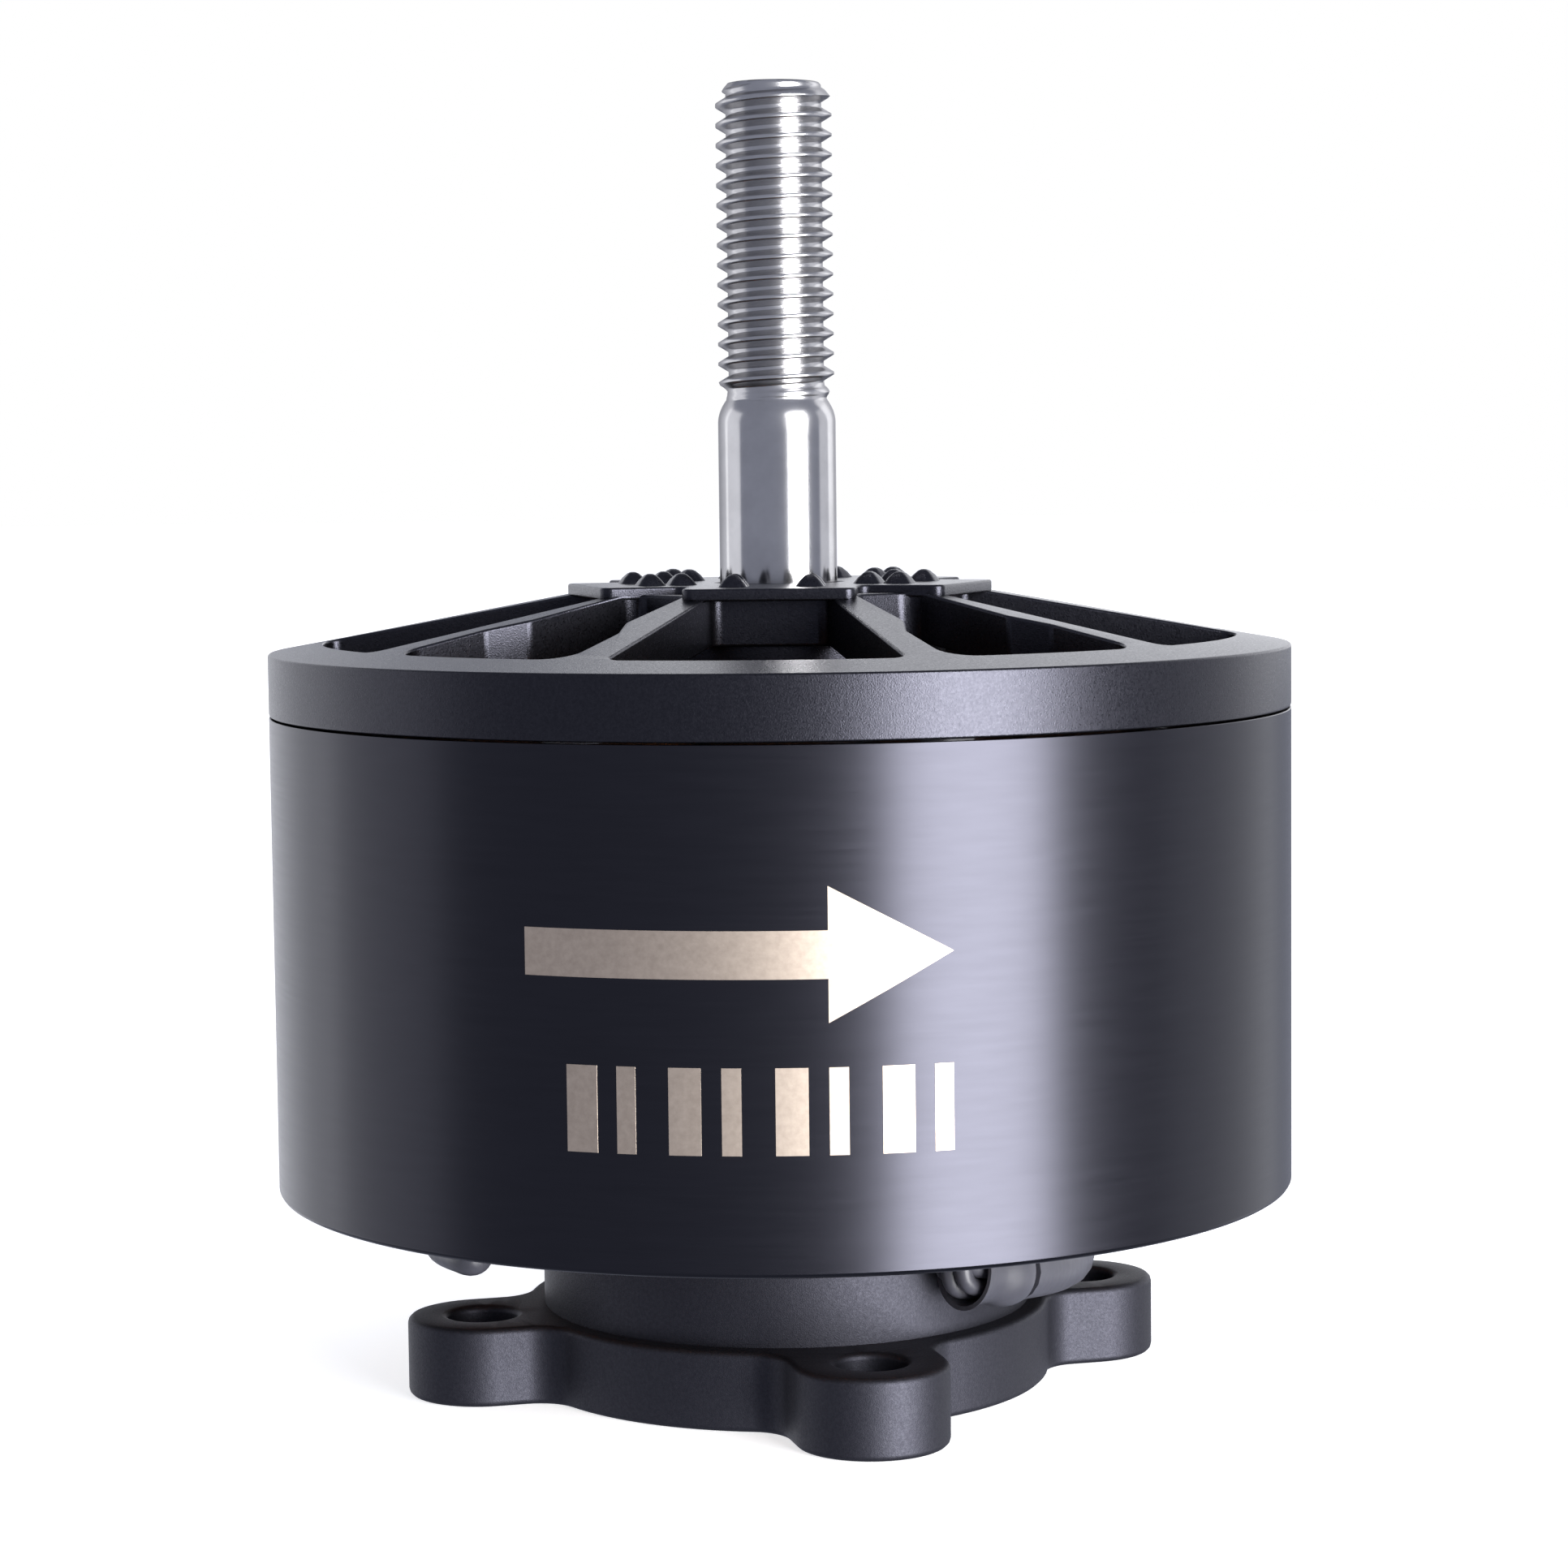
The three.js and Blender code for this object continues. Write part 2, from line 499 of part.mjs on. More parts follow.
// Shaft: plain in the bearings and the cap, threaded above, with a circlip under the lower bearing.
function shaftProfile() {
  const root = SHAFT_RADIUS - THREAD_DEPTH;
  const points = [[0, SHAFT_BOTTOM], [SHAFT_RADIUS - 0.4, SHAFT_BOTTOM], [SHAFT_RADIUS, SHAFT_BOTTOM + 0.3]];
  points.push([SHAFT_RADIUS, THREAD_BOTTOM - 0.8]);
  for (let z = THREAD_BOTTOM; z < SHAFT_TOP - 1.2; z += THREAD_PITCH) {
    points.push([root, z], [SHAFT_RADIUS - 0.05, z + THREAD_PITCH / 2]);
  }
  points.push([root, SHAFT_TOP - 0.6], [root - 0.2, SHAFT_TOP], [0, SHAFT_TOP]);
  return points;
}
piece(rotor, 'motor_shaft', turned(shaftProfile(), 20), 'steel');
const SHIM_BOTTOM = BEARING_BOTTOMS.upper + BEARING_WIDTH + FIT;
piece(rotor, 'shim_washer', ring(SHAFT_RADIUS + FIT, 4.3, SHIM_BOTTOM, HUB_BOTTOM - FIT, 32), 'steel');

// An open ring below the lower bearing.
const CIRCLIP_BOTTOM = 0.8;
const CIRCLIP_TOP = 1.5;
function circlip() {
  const [inner, outer] = [SHAFT_RADIUS + FIT, SHAFT_RADIUS + 1.1];
  const [open, steps] = [24, 14];
  const there = arcPoints(outer, open, 360 - open, steps);
  const back = arcPoints(inner, 360 - open, open, steps);
  return extruded(outline([...there, ...back]), CIRCLIP_BOTTOM, CIRCLIP_TOP);
}
piece(rotor, 'shaft_circlip', circlip(), 'steel');

export default motor;
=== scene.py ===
"""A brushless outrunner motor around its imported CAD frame. Lengths are in mm unless they say metres."""
import math

import bmesh
import bpy
from mathutils import Matrix, Vector, noise
from mathutils.geometry import delaunay_2d_cdt


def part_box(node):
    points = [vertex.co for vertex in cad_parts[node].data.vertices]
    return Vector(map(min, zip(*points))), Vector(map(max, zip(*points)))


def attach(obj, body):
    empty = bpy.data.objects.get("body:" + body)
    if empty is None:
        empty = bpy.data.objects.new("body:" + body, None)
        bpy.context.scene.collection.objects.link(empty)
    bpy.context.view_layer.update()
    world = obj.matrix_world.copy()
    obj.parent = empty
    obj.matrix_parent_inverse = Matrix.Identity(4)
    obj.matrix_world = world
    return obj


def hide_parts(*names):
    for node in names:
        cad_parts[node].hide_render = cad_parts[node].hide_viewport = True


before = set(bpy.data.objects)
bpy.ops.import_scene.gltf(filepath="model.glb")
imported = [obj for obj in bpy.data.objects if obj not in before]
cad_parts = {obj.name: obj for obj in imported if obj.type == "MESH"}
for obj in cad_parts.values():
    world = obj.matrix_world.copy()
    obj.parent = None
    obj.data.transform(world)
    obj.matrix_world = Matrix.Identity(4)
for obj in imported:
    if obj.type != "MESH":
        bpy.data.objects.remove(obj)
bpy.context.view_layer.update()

MM = 0.001


def high(node, axis=2):
    """A CAD node's highest coordinate, in mm."""
    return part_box(node)[1][axis] / MM


def low(node, axis=2):
    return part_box(node)[0][axis] / MM


# Sizes that come from the frame
BELL_RADIUS = high("flux_ring", 0)
RING_BOTTOM = low("flux_ring")
RING_TOP = high("flux_ring")
CAP_BOTTOM = RING_TOP + 0.08
SHAFT_TOP = high("motor_shaft")
SHAFT_BOTTOM = low("motor_shaft")
SHAFT_RADIUS = 3.0
STATOR_TOP = high("stator_core")
STATOR_BOTTOM = low("stator_core")
TUBE_TOP = high("mounting_base")

# Camera: the photograph's viewing angle
CAMERA_PLACE = (0, -0.19726, 0.04704)
CAMERA_LENS = 88.46
CAMERA_PITCH = 0.08355
CAMERA_YAW = 0.00077
CAMERA_ROLL = -0.0114


def make_camera():
    data = bpy.data.cameras.new("camera")
    data.lens = CAMERA_LENS
    data.sensor_width = 36
    data.clip_start = 0.01
    camera = bpy.data.objects.new("camera", data)
    bpy.context.scene.collection.objects.link(camera)
    forward = Vector((
        math.sin(CAMERA_YAW) * math.cos(CAMERA_PITCH),
        math.cos(CAMERA_YAW) * math.cos(CAMERA_PITCH),
        -math.sin(CAMERA_PITCH),
    ))
    right = Vector((math.cos(CAMERA_YAW), -math.sin(CAMERA_YAW), 0))
    up = right.cross(forward)
    turned_right = math.cos(CAMERA_ROLL) * right + math.sin(CAMERA_ROLL) * up
    turned_up = math.cos(CAMERA_ROLL) * up - math.sin(CAMERA_ROLL) * right
    turn = Matrix((turned_right, turned_up, -forward)).transposed()
    camera.matrix_world = Matrix.Translation(CAMERA_PLACE) @ turn.to_4x4()
    bpy.context.scene.camera = camera


# Small geometry helpers

def polar(radius, azimuth, z=None):
    """A point at an azimuth in degrees, from the front (-Y) towards +X."""
    x, y = radius * math.sin(math.radians(azimuth)), -radius * math.cos(math.radians(azimuth))
    return Vector((x, y)) if z is None else Vector((x, y, z))


def arc(radius, start, end, step=1.5):
    count = max(1, math.ceil(abs(end - start) / step))
    return [polar(radius, start + (end - start) * i / count) for i in range(count + 1)]


def filleted(corners, steps=6):
    """A closed outline from (point, fillet radius) corners, each sharp corner turned into an arc."""
    outline = []
    for i, (point, radius) in enumerate(corners):
        if radius == 0:
            outline.append(point)
            continue
        back = (corners[i - 1][0] - point).normalized()
        on = (corners[(i + 1) % len(corners)][0] - point).normalized()
        half = back.angle(on) / 2
        start, end = point + back * radius / math.tan(half), point + on * radius / math.tan(half)
        centre = point + (back + on).normalized() * radius / math.sin(half)
        for k in range(steps + 1):
            share = k / steps
            way = ((start - centre) * (1 - share) + (end - centre) * share).normalized()
            outline.append(centre + way * radius)
    return outline


def area_of(loop):
    return sum(a.x * b.y - b.x * a.y for a, b in zip(loop, loop[1:] + loop[:1])) / 2


def inset(loop, depth):
    """The loop moved by depth into the material, which is on the left of an anticlockwise loop."""
    moved = []
    for i, point in enumerate(loop):
        before = (point - loop[i - 1]).normalized()
        after = (loop[(i + 1) % len(loop)] - point).normalized()
        middle = (before + after).normalized()
        left = Vector((-middle.y, middle.x))
        stretch = 1 / max(0.5, math.sqrt((1 + before.dot(after)) / 2))
        moved.append(point + left * depth * stretch)
    return moved


def inside(point, loops):
    """Whether a point lies in the material between the loops, by counting crossings."""
    hit = False
    for loop in loops:
        for a, b in zip(loop, loop[1:] + loop[:1]):
            if (a.y > point.y) != (b.y > point.y):
                if point.x < (b.x - a.x) * (point.y - a.y) / (b.y - a.y) + a.x:
                    hit = not hit
    return hit


def add_object(name, vertices, faces, sharp=38):
    """A smooth-shaded mesh object from points in mm. Edges bent by more than sharp degrees stay sharp."""
    mesh = bpy.data.meshes.new(name)
    mesh.from_pydata([Vector(v) * MM for v in vertices], [], faces)
    obj = bpy.data.objects.new(name, mesh)
    bpy.context.scene.collection.objects.link(obj)
    finish_mesh(obj, sharp)
    return obj


def finish_mesh(obj, sharp=38, merge=1e-7):
    """Merges doubles, turns the faces outwards and marks the sharp edges."""
    mesh = bmesh.new()
    mesh.from_mesh(obj.data)
    bmesh.ops.remove_doubles(mesh, verts=mesh.verts, dist=merge)
    bmesh.ops.dissolve_degenerate(mesh, edges=mesh.edges, dist=merge)
    bmesh.ops.recalc_face_normals(mesh, faces=mesh.faces)
    for face in mesh.faces:
        face.smooth = True
    for edge in mesh.edges:
        edge.smooth = len(edge.link_faces) == 2 and edge.calc_face_angle(0) < math.radians(sharp)
    mesh.to_mesh(obj.data)
    mesh.free()
    if not any(m.type == "WEIGHTED_NORMAL" for m in obj.modifiers):
        weighted = obj.modifiers.new("even_normals", "WEIGHTED_NORMAL")
        weighted.keep_sharp = True
        weighted.weight = 90


def revolved(name, corners, segments=180, sharp=38, steps=4):
    """A closed profile of (radius, z, fillet) corners turned about Z."""
    profile = filleted([(Vector((r, z)), f) for r, z, f in corners], steps)
    count = len(profile)
    vertices, faces = [], []
    for i in range(segments):
        turn = 2 * math.pi * i / segments
        vertices += [(p.x * math.sin(turn), -p.x * math.cos(turn), p.y) for p in profile]
        j = (i + 1) % segments
        for k in range(count):
            n = (k + 1) % count
            faces.append((i * count + k, j * count + k, j * count + n, i * count + n))
    return add_object(name, vertices, faces, sharp)


def slab(name, loops, top, bottom, bevel=0.15, steps=3, sharp=38, extra=()):
    """A plate with holes, with rounded edges. top and bottom give a height at a point, or are heights.

    The first loop is the outside, and the others are holes. extra are more points inside the plate.
    """
    upper = top if callable(top) else (lambda p: top)
    lower = bottom if callable(bottom) else (lambda p: bottom)
    turned = [loop if (area_of(loop) > 0) == (i == 0) else loop[::-1] for i, loop in enumerate(loops)]
    levels = []
    for k in range(steps + 1):
        angle = math.pi / 2 * k / steps
        levels.append((bevel * (1 - math.sin(angle)), bevel * (1 - math.cos(angle))))
    rows = [[inset(loop, i) for loop in turned] for i, _ in levels]
    flat = [point for loop in rows[0] for point in loop]
    edges, start = [], 0
    for loop in turned:
        edges += [(start + i, start + (i + 1) % len(loop)) for i in range(len(loop))]
        start += len(loop)
    points, _, triangles, *_ = delaunay_2d_cdt([*flat, *map(Vector, extra)], edges, [], 0, 1e-6)
    kept = [t for t in triangles if inside(sum((points[i] for i in t), Vector((0, 0))) / 3, rows[0])]
    vertices, faces = [], []
    for side, height in ((1, upper), (-1, lower)):
        base = len(vertices)
        vertices += [(p.x, p.y, height(p)) for p in points]
        faces += [tuple(base + i for i in (t if side > 0 else t[::-1])) for t in kept]
    for number, loop in enumerate(turned):
        count = len(loop)
        outline = []
        for level, (_, drop) in enumerate(levels):
            outline.append([(p.x, p.y, upper(q) - drop) for p, q in zip(rows[level][number], loop)])
        for level, (_, drop) in reversed(list(enumerate(levels))):
            outline.append([(p.x, p.y, lower(q) + drop) for p, q in zip(rows[level][number], loop)])
        outline[0] = [(p.x, p.y, upper(p)) for p in rows[0][number]]
        outline[-1] = [(p.x, p.y, lower(p)) for p in rows[0][number]]
        base = len(vertices)
        vertices += [v for ring in outline for v in ring]
        for a in range(len(outline) - 1):
            for i in range(count):
                j = (i + 1) % count
                p, q = base + a * count, base + (a + 1) * count
                faces.append((p + i, q + i, q + j, p + j))
    return add_object(name, vertices, faces, sharp)


def frames_along(points):
    """A direction and two side directions at each point of a path, turned as little as possible."""
    ways = []
    for i in range(len(points)):
        before, after = points[max(i - 1, 0)], points[min(i + 1, len(points) - 1)]
        ways.append((after - before).normalized())
    side = ways[0].orthogonal().normalized()
    found = []
    for way in ways:
        side = (side - way * side.dot(way)).normalized()
        found.append((way, side, way.cross(side)))
    return found


def tube_data(points, radii, sides=10, inner=None):
    """Vertices and faces of a tube along a path: solid with flat ends, or hollow with inner radii."""
    vertices, faces = [], []
    shells = [radii] if inner is None else [radii, inner]
    for shell in shells:
        for point, radius, (_, side, up) in zip(points, shell, frames_along(points)):
            for k in range(sides):
                turn = 2 * math.pi * k / sides
                vertices.append(point + radius * (math.cos(turn) * side + math.sin(turn) * up))
    rows = len(points)
    for shell in range(len(shells)):
        base = shell * rows * sides
        for i in range(rows - 1):
            for k in range(sides):
                n = (k + 1) % sides
                a, b = base + i * sides, base + (i + 1) * sides
                faces.append((a + k, a + n, b + n, b + k))
    last = (rows - 1) * sides
    if inner is None:
        faces += [tuple(range(sides))[::-1], tuple(last + k for k in range(sides))]
    else:
        for end in (0, last):
            for k in range(sides):
                n = (k + 1) % sides
                faces.append((end + k, end + n, rows * sides + end + n, rows * sides + end + k))
    return vertices, faces


def joined_data(parts):
    vertices, faces = [], []
    for more, own in parts:
        base = len(vertices)
        vertices += more
        faces += [tuple(base + i for i in face) for face in own]
    return vertices, faces


def through(points, share=8):
    """A smooth line through the points, sampled evenly in each stretch."""
    padded = [2 * points[0] - points[1], *points, 2 * points[-1] - points[-2]]
    line = []
    for a, b, c, d in zip(padded, padded[1:], padded[2:], padded[3:]):
        for k in range(share):
            t = k / share
            line.append(0.5 * (
                2 * b + (c - a) * t + (2 * a - 5 * b + 4 * c - d) * t * t + (3 * b - a - 3 * c + d) * t ** 3))
    return [*line, points[-1]]


def united(obj, others, sharp=38):
    """obj joined with the others by an exact boolean, and the others deleted."""
    for other in others:
        step = obj.modifiers.new("join", "BOOLEAN")
        step.operation = "UNION"
        step.solver = "EXACT"
        step.object = other
        bpy.context.view_layer.update()
        evaluated = obj.evaluated_get(bpy.context.evaluated_depsgraph_get())
        mesh = bpy.data.meshes.new_from_object(evaluated)
        obj.modifiers.clear()
        obj.data = mesh
        bpy.data.objects.remove(other)
    finish_mesh(obj, sharp, merge=2e-6)
    return obj


def install(obj, body, slot, material, *nodes):
    """Puts a piece on its body, in its finish, in place of its CAD nodes."""
    obj.data.materials.clear()
    obj.data.materials.append(material)
    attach(obj, body)
    if nodes:
        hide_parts(*nodes)
    return obj


# Materials

class Finish:
    """A procedural material made step by step. Patterns are placed in the object's own frame, in metres.

    The colour and roughness it starts with stand in where a viewer can't follow the patterns.
    """

    def __init__(self, name, color, metallic, roughness, **sockets):
        self.material = bpy.data.materials.new(name)
        self.material.use_nodes = True
        self.nodes = self.material.node_tree.nodes
        self.links = self.material.node_tree.links
        self.shader = self.nodes["Principled BSDF"]
        self.set("Base Color", (*color, 1))
        self.set("Metallic", metallic)
        self.set("Roughness", roughness)
        for socket, value in sockets.items():
            self.set(socket.replace("_", " "), value)
        self.place = self.nodes.new("ShaderNodeTexCoord").outputs["Object"]

    def set(self, socket, value):
        self.shader.inputs[socket].default_value = value

    def stretched(self, scale):
        """The place in the object, scaled along each axis."""
        node = self.nodes.new("ShaderNodeMapping")
        node.inputs["Scale"].default_value = scale
        self.links.new(self.place, node.inputs["Vector"])
        return node.outputs["Vector"]

    def turned(self):
        """Gives the gloss a tangent that runs round Z, as on a surface turned about it."""
        node = self.nodes.new("ShaderNodeTangent")
        node.direction_type = "RADIAL"
        node.axis = "Z"
        self.links.new(node.outputs["Tangent"], self.shader.inputs["Tangent"])

    def noise(self, scale, detail=3, rough=0.5, at=None):
        node = self.nodes.new("ShaderNodeTexNoise")
        node.inputs["Scale"].default_value = scale
        node.inputs["Detail"].default_value = detail
        node.inputs["Roughness"].default_value = rough
        self.links.new(at or self.place, node.inputs["Vector"])
        return node.outputs["Fac"]

    def cells(self, scale, at=None):
        node = self.nodes.new("ShaderNodeTexVoronoi")
        node.inputs["Scale"].default_value = scale
        self.links.new(at or self.place, node.inputs["Vector"])
        return node.outputs["Distance"]

    def height(self, bottom, top):
        """How far up the object's frame a place is, from 0 at the bottom to 1 at the top, both in metres."""
        split = self.nodes.new("ShaderNodeSeparateXYZ")
        self.links.new(self.place, split.inputs["Vector"])
        node = self.nodes.new("ShaderNodeMapRange")
        node.inputs["From Min"].default_value = bottom
        node.inputs["From Max"].default_value = top
        self.links.new(split.outputs["Z"], node.inputs["Value"])
        return node.outputs["Result"]

    def nearness(self, reach):
        """1 at the object's origin, falling to 0 at the reach, in metres."""
        node = self.nodes.new("ShaderNodeTexGradient")
        node.gradient_type = "SPHERICAL"
        self.links.new(self.stretched((1 / reach, 1 / reach, 1 / reach)), node.inputs["Vector"])
        return node.outputs["Fac"]

    def ramp(self, value, socket, stops):
        """A socket that follows a pattern through colour or number stops."""
        node = self.nodes.new("ShaderNodeValToRGB")
        while len(node.color_ramp.elements) < len(stops):
            node.color_ramp.elements.new(0.5)
        for element, (at, colour) in zip(node.color_ramp.elements, stops):
            element.position = at
            element.color = (*colour, 1) if isinstance(colour, tuple) else (colour, colour, colour, 1)
        self.links.new(value, node.inputs["Fac"])
        self.links.new(node.outputs["Color"], self.shader.inputs[socket])

    def bump(self, value, depth_mm, strength=1.0):
        """Relief of that depth, over any relief that is already there."""
        node = self.nodes.new("ShaderNodeBump")
        node.inputs["Strength"].default_value = strength
        node.inputs["Distance"].default_value = depth_mm * MM
        self.links.new(value, node.inputs["Height"])
        earlier = self.shader.inputs["Normal"].links
        if earlier:
            self.links.new(earlier[0].from_socket, node.inputs["Normal"])
        self.links.new(node.outputs["Normal"], self.shader.inputs["Normal"])


def blasted(name, dark, light, grain, gloss):
    """Anodised aluminium over a fine bead blast."""
    finish = Finish(name, light, 1.0, 0.36)
    finish.ramp(finish.noise(6000, 3, 0.6), "Base Color", [(0.35, dark), (0.65, light)])
    finish.ramp(finish.noise(9000, 2, 0.6), "Roughness", [(0.35, gloss - 0.04), (0.65, gloss + 0.04)])
    finish.bump(finish.cells(15000), 0.005 * grain)
    finish.bump(finish.noise(13000, 2, 0.7), 0.004 * grain)
    return finish.material


def make_materials():
    found = {}
    found["cap_anodised"] = blasted(
        "cap_anodised", (0.029, 0.029, 0.036), (0.036, 0.036, 0.044), grain=1.0, gloss=0.31)
    found["base_anodised"] = blasted(
        "base_anodised", (0.032, 0.032, 0.040), (0.039, 0.039, 0.048), grain=1.0, gloss=0.56)

    ring = Finish("ring_anodised", (0.03, 0.03, 0.036), 1.0, 0.32, Anisotropic=0.7)
    ring.turned()
    ring.ramp(ring.noise(1, 3, 0.55, ring.stretched((300, 300, 2600))), "Base Color",
              [(0.3, (0.0295, 0.0295, 0.0365)), (0.7, (0.0315, 0.0315, 0.039))])
    ring.ramp(ring.noise(1, 3, 0.6, ring.stretched((200, 200, 5000))), "Roughness",
              [(0.3, 0.21), (0.7, 0.23)])
    ring.bump(ring.noise(1, 3, 0.6, ring.stretched((60, 60, 5200))), 0.0001)
    found["ring_anodised"] = ring.material

    mark = Finish("laser_mark", (0.40, 0.34, 0.29), 1.0, 0.45)
    mark.ramp(mark.noise(3000, 4, 0.6), "Base Color",
              [(0.3, (0.38, 0.315, 0.26)), (0.7, (0.46, 0.385, 0.32))])
    mark.bump(mark.noise(1, 2, 0.5, mark.stretched((900, 900, 9000))), 0.004)
    found["laser_mark"] = mark.material

    shaft = Finish("shaft_steel", (0.36, 0.36, 0.37), 1.0, 0.18, Specular_Tint=(0.4, 0.4, 0.41, 1))
    shaft.ramp(shaft.noise(500, 4, 0.6), "Base Color",
               [(0.3, (0.43, 0.425, 0.43)), (0.7, (0.50, 0.495, 0.50))])
    shaft.ramp(shaft.height(0.040, 0.060), "Roughness", [(0.42, 0.15), (0.52, 0.25)])
    shaft.bump(shaft.noise(1, 3, 0.6, shaft.stretched((150, 150, 9000))), 0.0004)
    found["shaft_steel"] = shaft.material

    bearing = Finish("bearing_steel", (0.66, 0.67, 0.70), 1.0, 0.16)
    bearing.ramp(bearing.noise(700, 3), "Base Color", [(0.3, (0.58, 0.59, 0.62)), (0.7, (0.68, 0.69, 0.72))])
    bearing.ramp(bearing.noise(1, 3, 0.6, bearing.stretched((900, 900, 9000))), "Roughness",
                 [(0.3, 0.1), (0.7, 0.24)])
    found["bearing_steel"] = bearing.material

    brass = Finish("cage_brass", (0.72, 0.55, 0.26), 1.0, 0.3)
    brass.ramp(brass.noise(800, 3), "Base Color", [(0.3, (0.60, 0.44, 0.20)), (0.7, (0.74, 0.57, 0.28))])
    brass.bump(brass.noise(4000, 2), 0.003)
    found["cage_brass"] = brass.material

    black = Finish("screw_black", (0.06, 0.06, 0.065), 0.9, 0.4)
    black.ramp(black.noise(900, 3), "Base Color", [(0.3, (0.045, 0.045, 0.05)), (0.7, (0.08, 0.08, 0.09))])
    black.bump(black.noise(5000, 2), 0.004)
    found["screw_black"] = black.material

    nickel = Finish("magnet_nickel", (0.5, 0.5, 0.52), 1.0, 0.3)
    nickel.ramp(nickel.noise(500, 4), "Base Color", [(0.3, (0.42, 0.42, 0.44)), (0.7, (0.56, 0.56, 0.58))])
    nickel.ramp(nickel.noise(1500, 3), "Roughness", [(0.3, 0.22), (0.7, 0.42)])
    nickel.bump(nickel.noise(2500, 3), 0.004)
    found["magnet_nickel"] = nickel.material

    sheets = Finish("lamination", (0.09, 0.09, 0.10), 0.7, 0.5)
    stripes = sheets.noise(1, 1, 0.4, sheets.stretched((8, 8, 2900)))
    sheets.ramp(stripes, "Base Color", [(0.4, (0.05, 0.05, 0.055)), (0.6, (0.16, 0.16, 0.17))])
    sheets.bump(stripes, 0.02)
    found["lamination"] = sheets.material

    epoxy = Finish("slot_insulation", (0.03, 0.05, 0.04), 0.0, 0.45, Coat_Weight=0.3)
    epoxy.ramp(epoxy.noise(900, 3), "Base Color",
               [(0.3, (0.022, 0.040, 0.032)), (0.7, (0.040, 0.066, 0.052))])
    epoxy.bump(epoxy.noise(1300, 4), 0.015)
    found["slot_insulation"] = epoxy.material

    copper = Finish("enamelled_copper", (0.55, 0.20, 0.07), 0.85, 0.3, Coat_Weight=0.6, Coat_Roughness=0.12)
    copper.ramp(copper.noise(350, 3), "Base Color", [(0.3, (0.42, 0.14, 0.045)), (0.7, (0.62, 0.25, 0.09))])
    copper.bump(copper.noise(2200, 3), 0.006)
    found["enamelled_copper"] = copper.material

    sleeve = Finish("lead_sleeving", (0.035, 0.035, 0.045), 0.0, 0.45, Coat_Weight=0.12, Coat_Roughness=0.2)
    sleeve.ramp(sleeve.noise(300, 4), "Base Color",
                [(0.3, (0.028, 0.028, 0.036)), (0.7, (0.042, 0.042, 0.053))])
    sleeve.ramp(sleeve.noise(900, 3), "Roughness", [(0.3, 0.38), (0.7, 0.52)])
    sleeve.bump(sleeve.noise(420, 3), 0.10)
    found["lead_sleeving"] = sleeve.material

    tin = Finish("tinned_copper", (0.70, 0.71, 0.73), 1.0, 0.3)
    tin.ramp(tin.noise(600, 4), "Base Color", [(0.3, (0.60, 0.61, 0.63)), (0.7, (0.76, 0.77, 0.79))])
    tin.bump(tin.noise(900, 4), 0.03)
    found["tinned_copper"] = tin.material
    return found


# The camera and the leads come first.
make_camera()
FINISHES = make_materials()
LEAD_DIAMETER = 3.1
LEAD_Z = LEAD_DIAMETER / 2 + 0.1
LEAD_ROUTES = {
    "a": [
        polar(14.4, 51.5, 7), polar(14.4, 62, 6.75), polar(14.4, 74, 6.45), polar(14.4, 86, 6.15),
        polar(14.4, 98, 5.95), polar(14.4, 110, 5.8), (12.8, 8.6, 5.7), (12.5, 12.5, 5.2), (12.3, 17, 3.9),
        (12.2, 22, 2.6), (12.1, 27, 1.85), (12, 32, LEAD_Z), (12, 38, LEAD_Z), (12.2, 48, LEAD_Z),
        (12.8, 60, LEAD_Z), (13.2, 72, LEAD_Z), (13.2, 82, LEAD_Z),
    ],
    "b": [
        (8.05, 17.65, 7.1), (8.1, 21, 5.8), (8.1, 24, 4.3), (8.05, 27, 3), (8, 30, 2.2), (8, 33, 1.8),
        (8, 36.5, LEAD_Z), (8, 40, LEAD_Z), (8.05, 45, LEAD_Z), (8.1, 50, LEAD_Z), (8.2, 56, LEAD_Z),
        (8.3, 62, LEAD_Z), (8.4, 68, LEAD_Z), (8.35, 74, LEAD_Z), (8.2, 80, LEAD_Z),
    ],
    "c": [
        (3.55, 18.35, 6.9), (3.65, 21.5, 5.6), (3.75, 24.5, 4.2), (3.8, 27.5, 3), (3.85, 30.5, 2.2),
        (3.9, 33.5, 1.8), (3.9, 37, LEAD_Z), (3.9, 41, LEAD_Z), (3.85, 46, LEAD_Z), (3.75, 51, LEAD_Z),
        (3.6, 56, LEAD_Z), (3.5, 61, LEAD_Z), (3.4, 67, LEAD_Z), (3.35, 72.5, LEAD_Z), (3.4, 78, LEAD_Z),
    ],
}
COLLAR_ROUTES = {
    "a": [polar(14.4, 37, 7.5), polar(14.4, 43.5, 7.25), polar(14.4, 50, 7.05)],
    "b": [(7.2, 13.6, 7.9), (7.7, 15.4, 7.7), (8, 17.3, 7.2)],
    "c": [(2.9, 14.4, 7.8), (3.2, 16.2, 7.5), (3.5, 18, 7)],
}


def lead_end(phase, tip, way):
    """The lead's tinned end: twisted strands under solder."""
    length, strand_radius, ring_radius, gap, turns, steps = 6.2, 0.4464, 0.52, 0.05, 0.9, 24
    strands = []
    start = tip + way * gap
    side, up = frames_along([start, start + way])[0][1:]
    for strand in range(7):
        offset = 0 if strand == 6 else ring_radius
        path = []
        for k in range(steps + 1):
            turn = 2 * math.pi * (strand / 6 + turns * k / steps)
            aside = offset * (math.cos(turn) * side + math.sin(turn) * up)
            path.append(start + way * length * k / steps + aside)
        strands.append(tube_data(path, [strand_radius] * len(path), 8))
    end = add_object(f"tinned_end_{phase}", *joined_data(strands), sharp=50)
    return install(end, "stator", "tinned_copper", FINISHES["tinned_copper"], f"lead_end_{phase}")


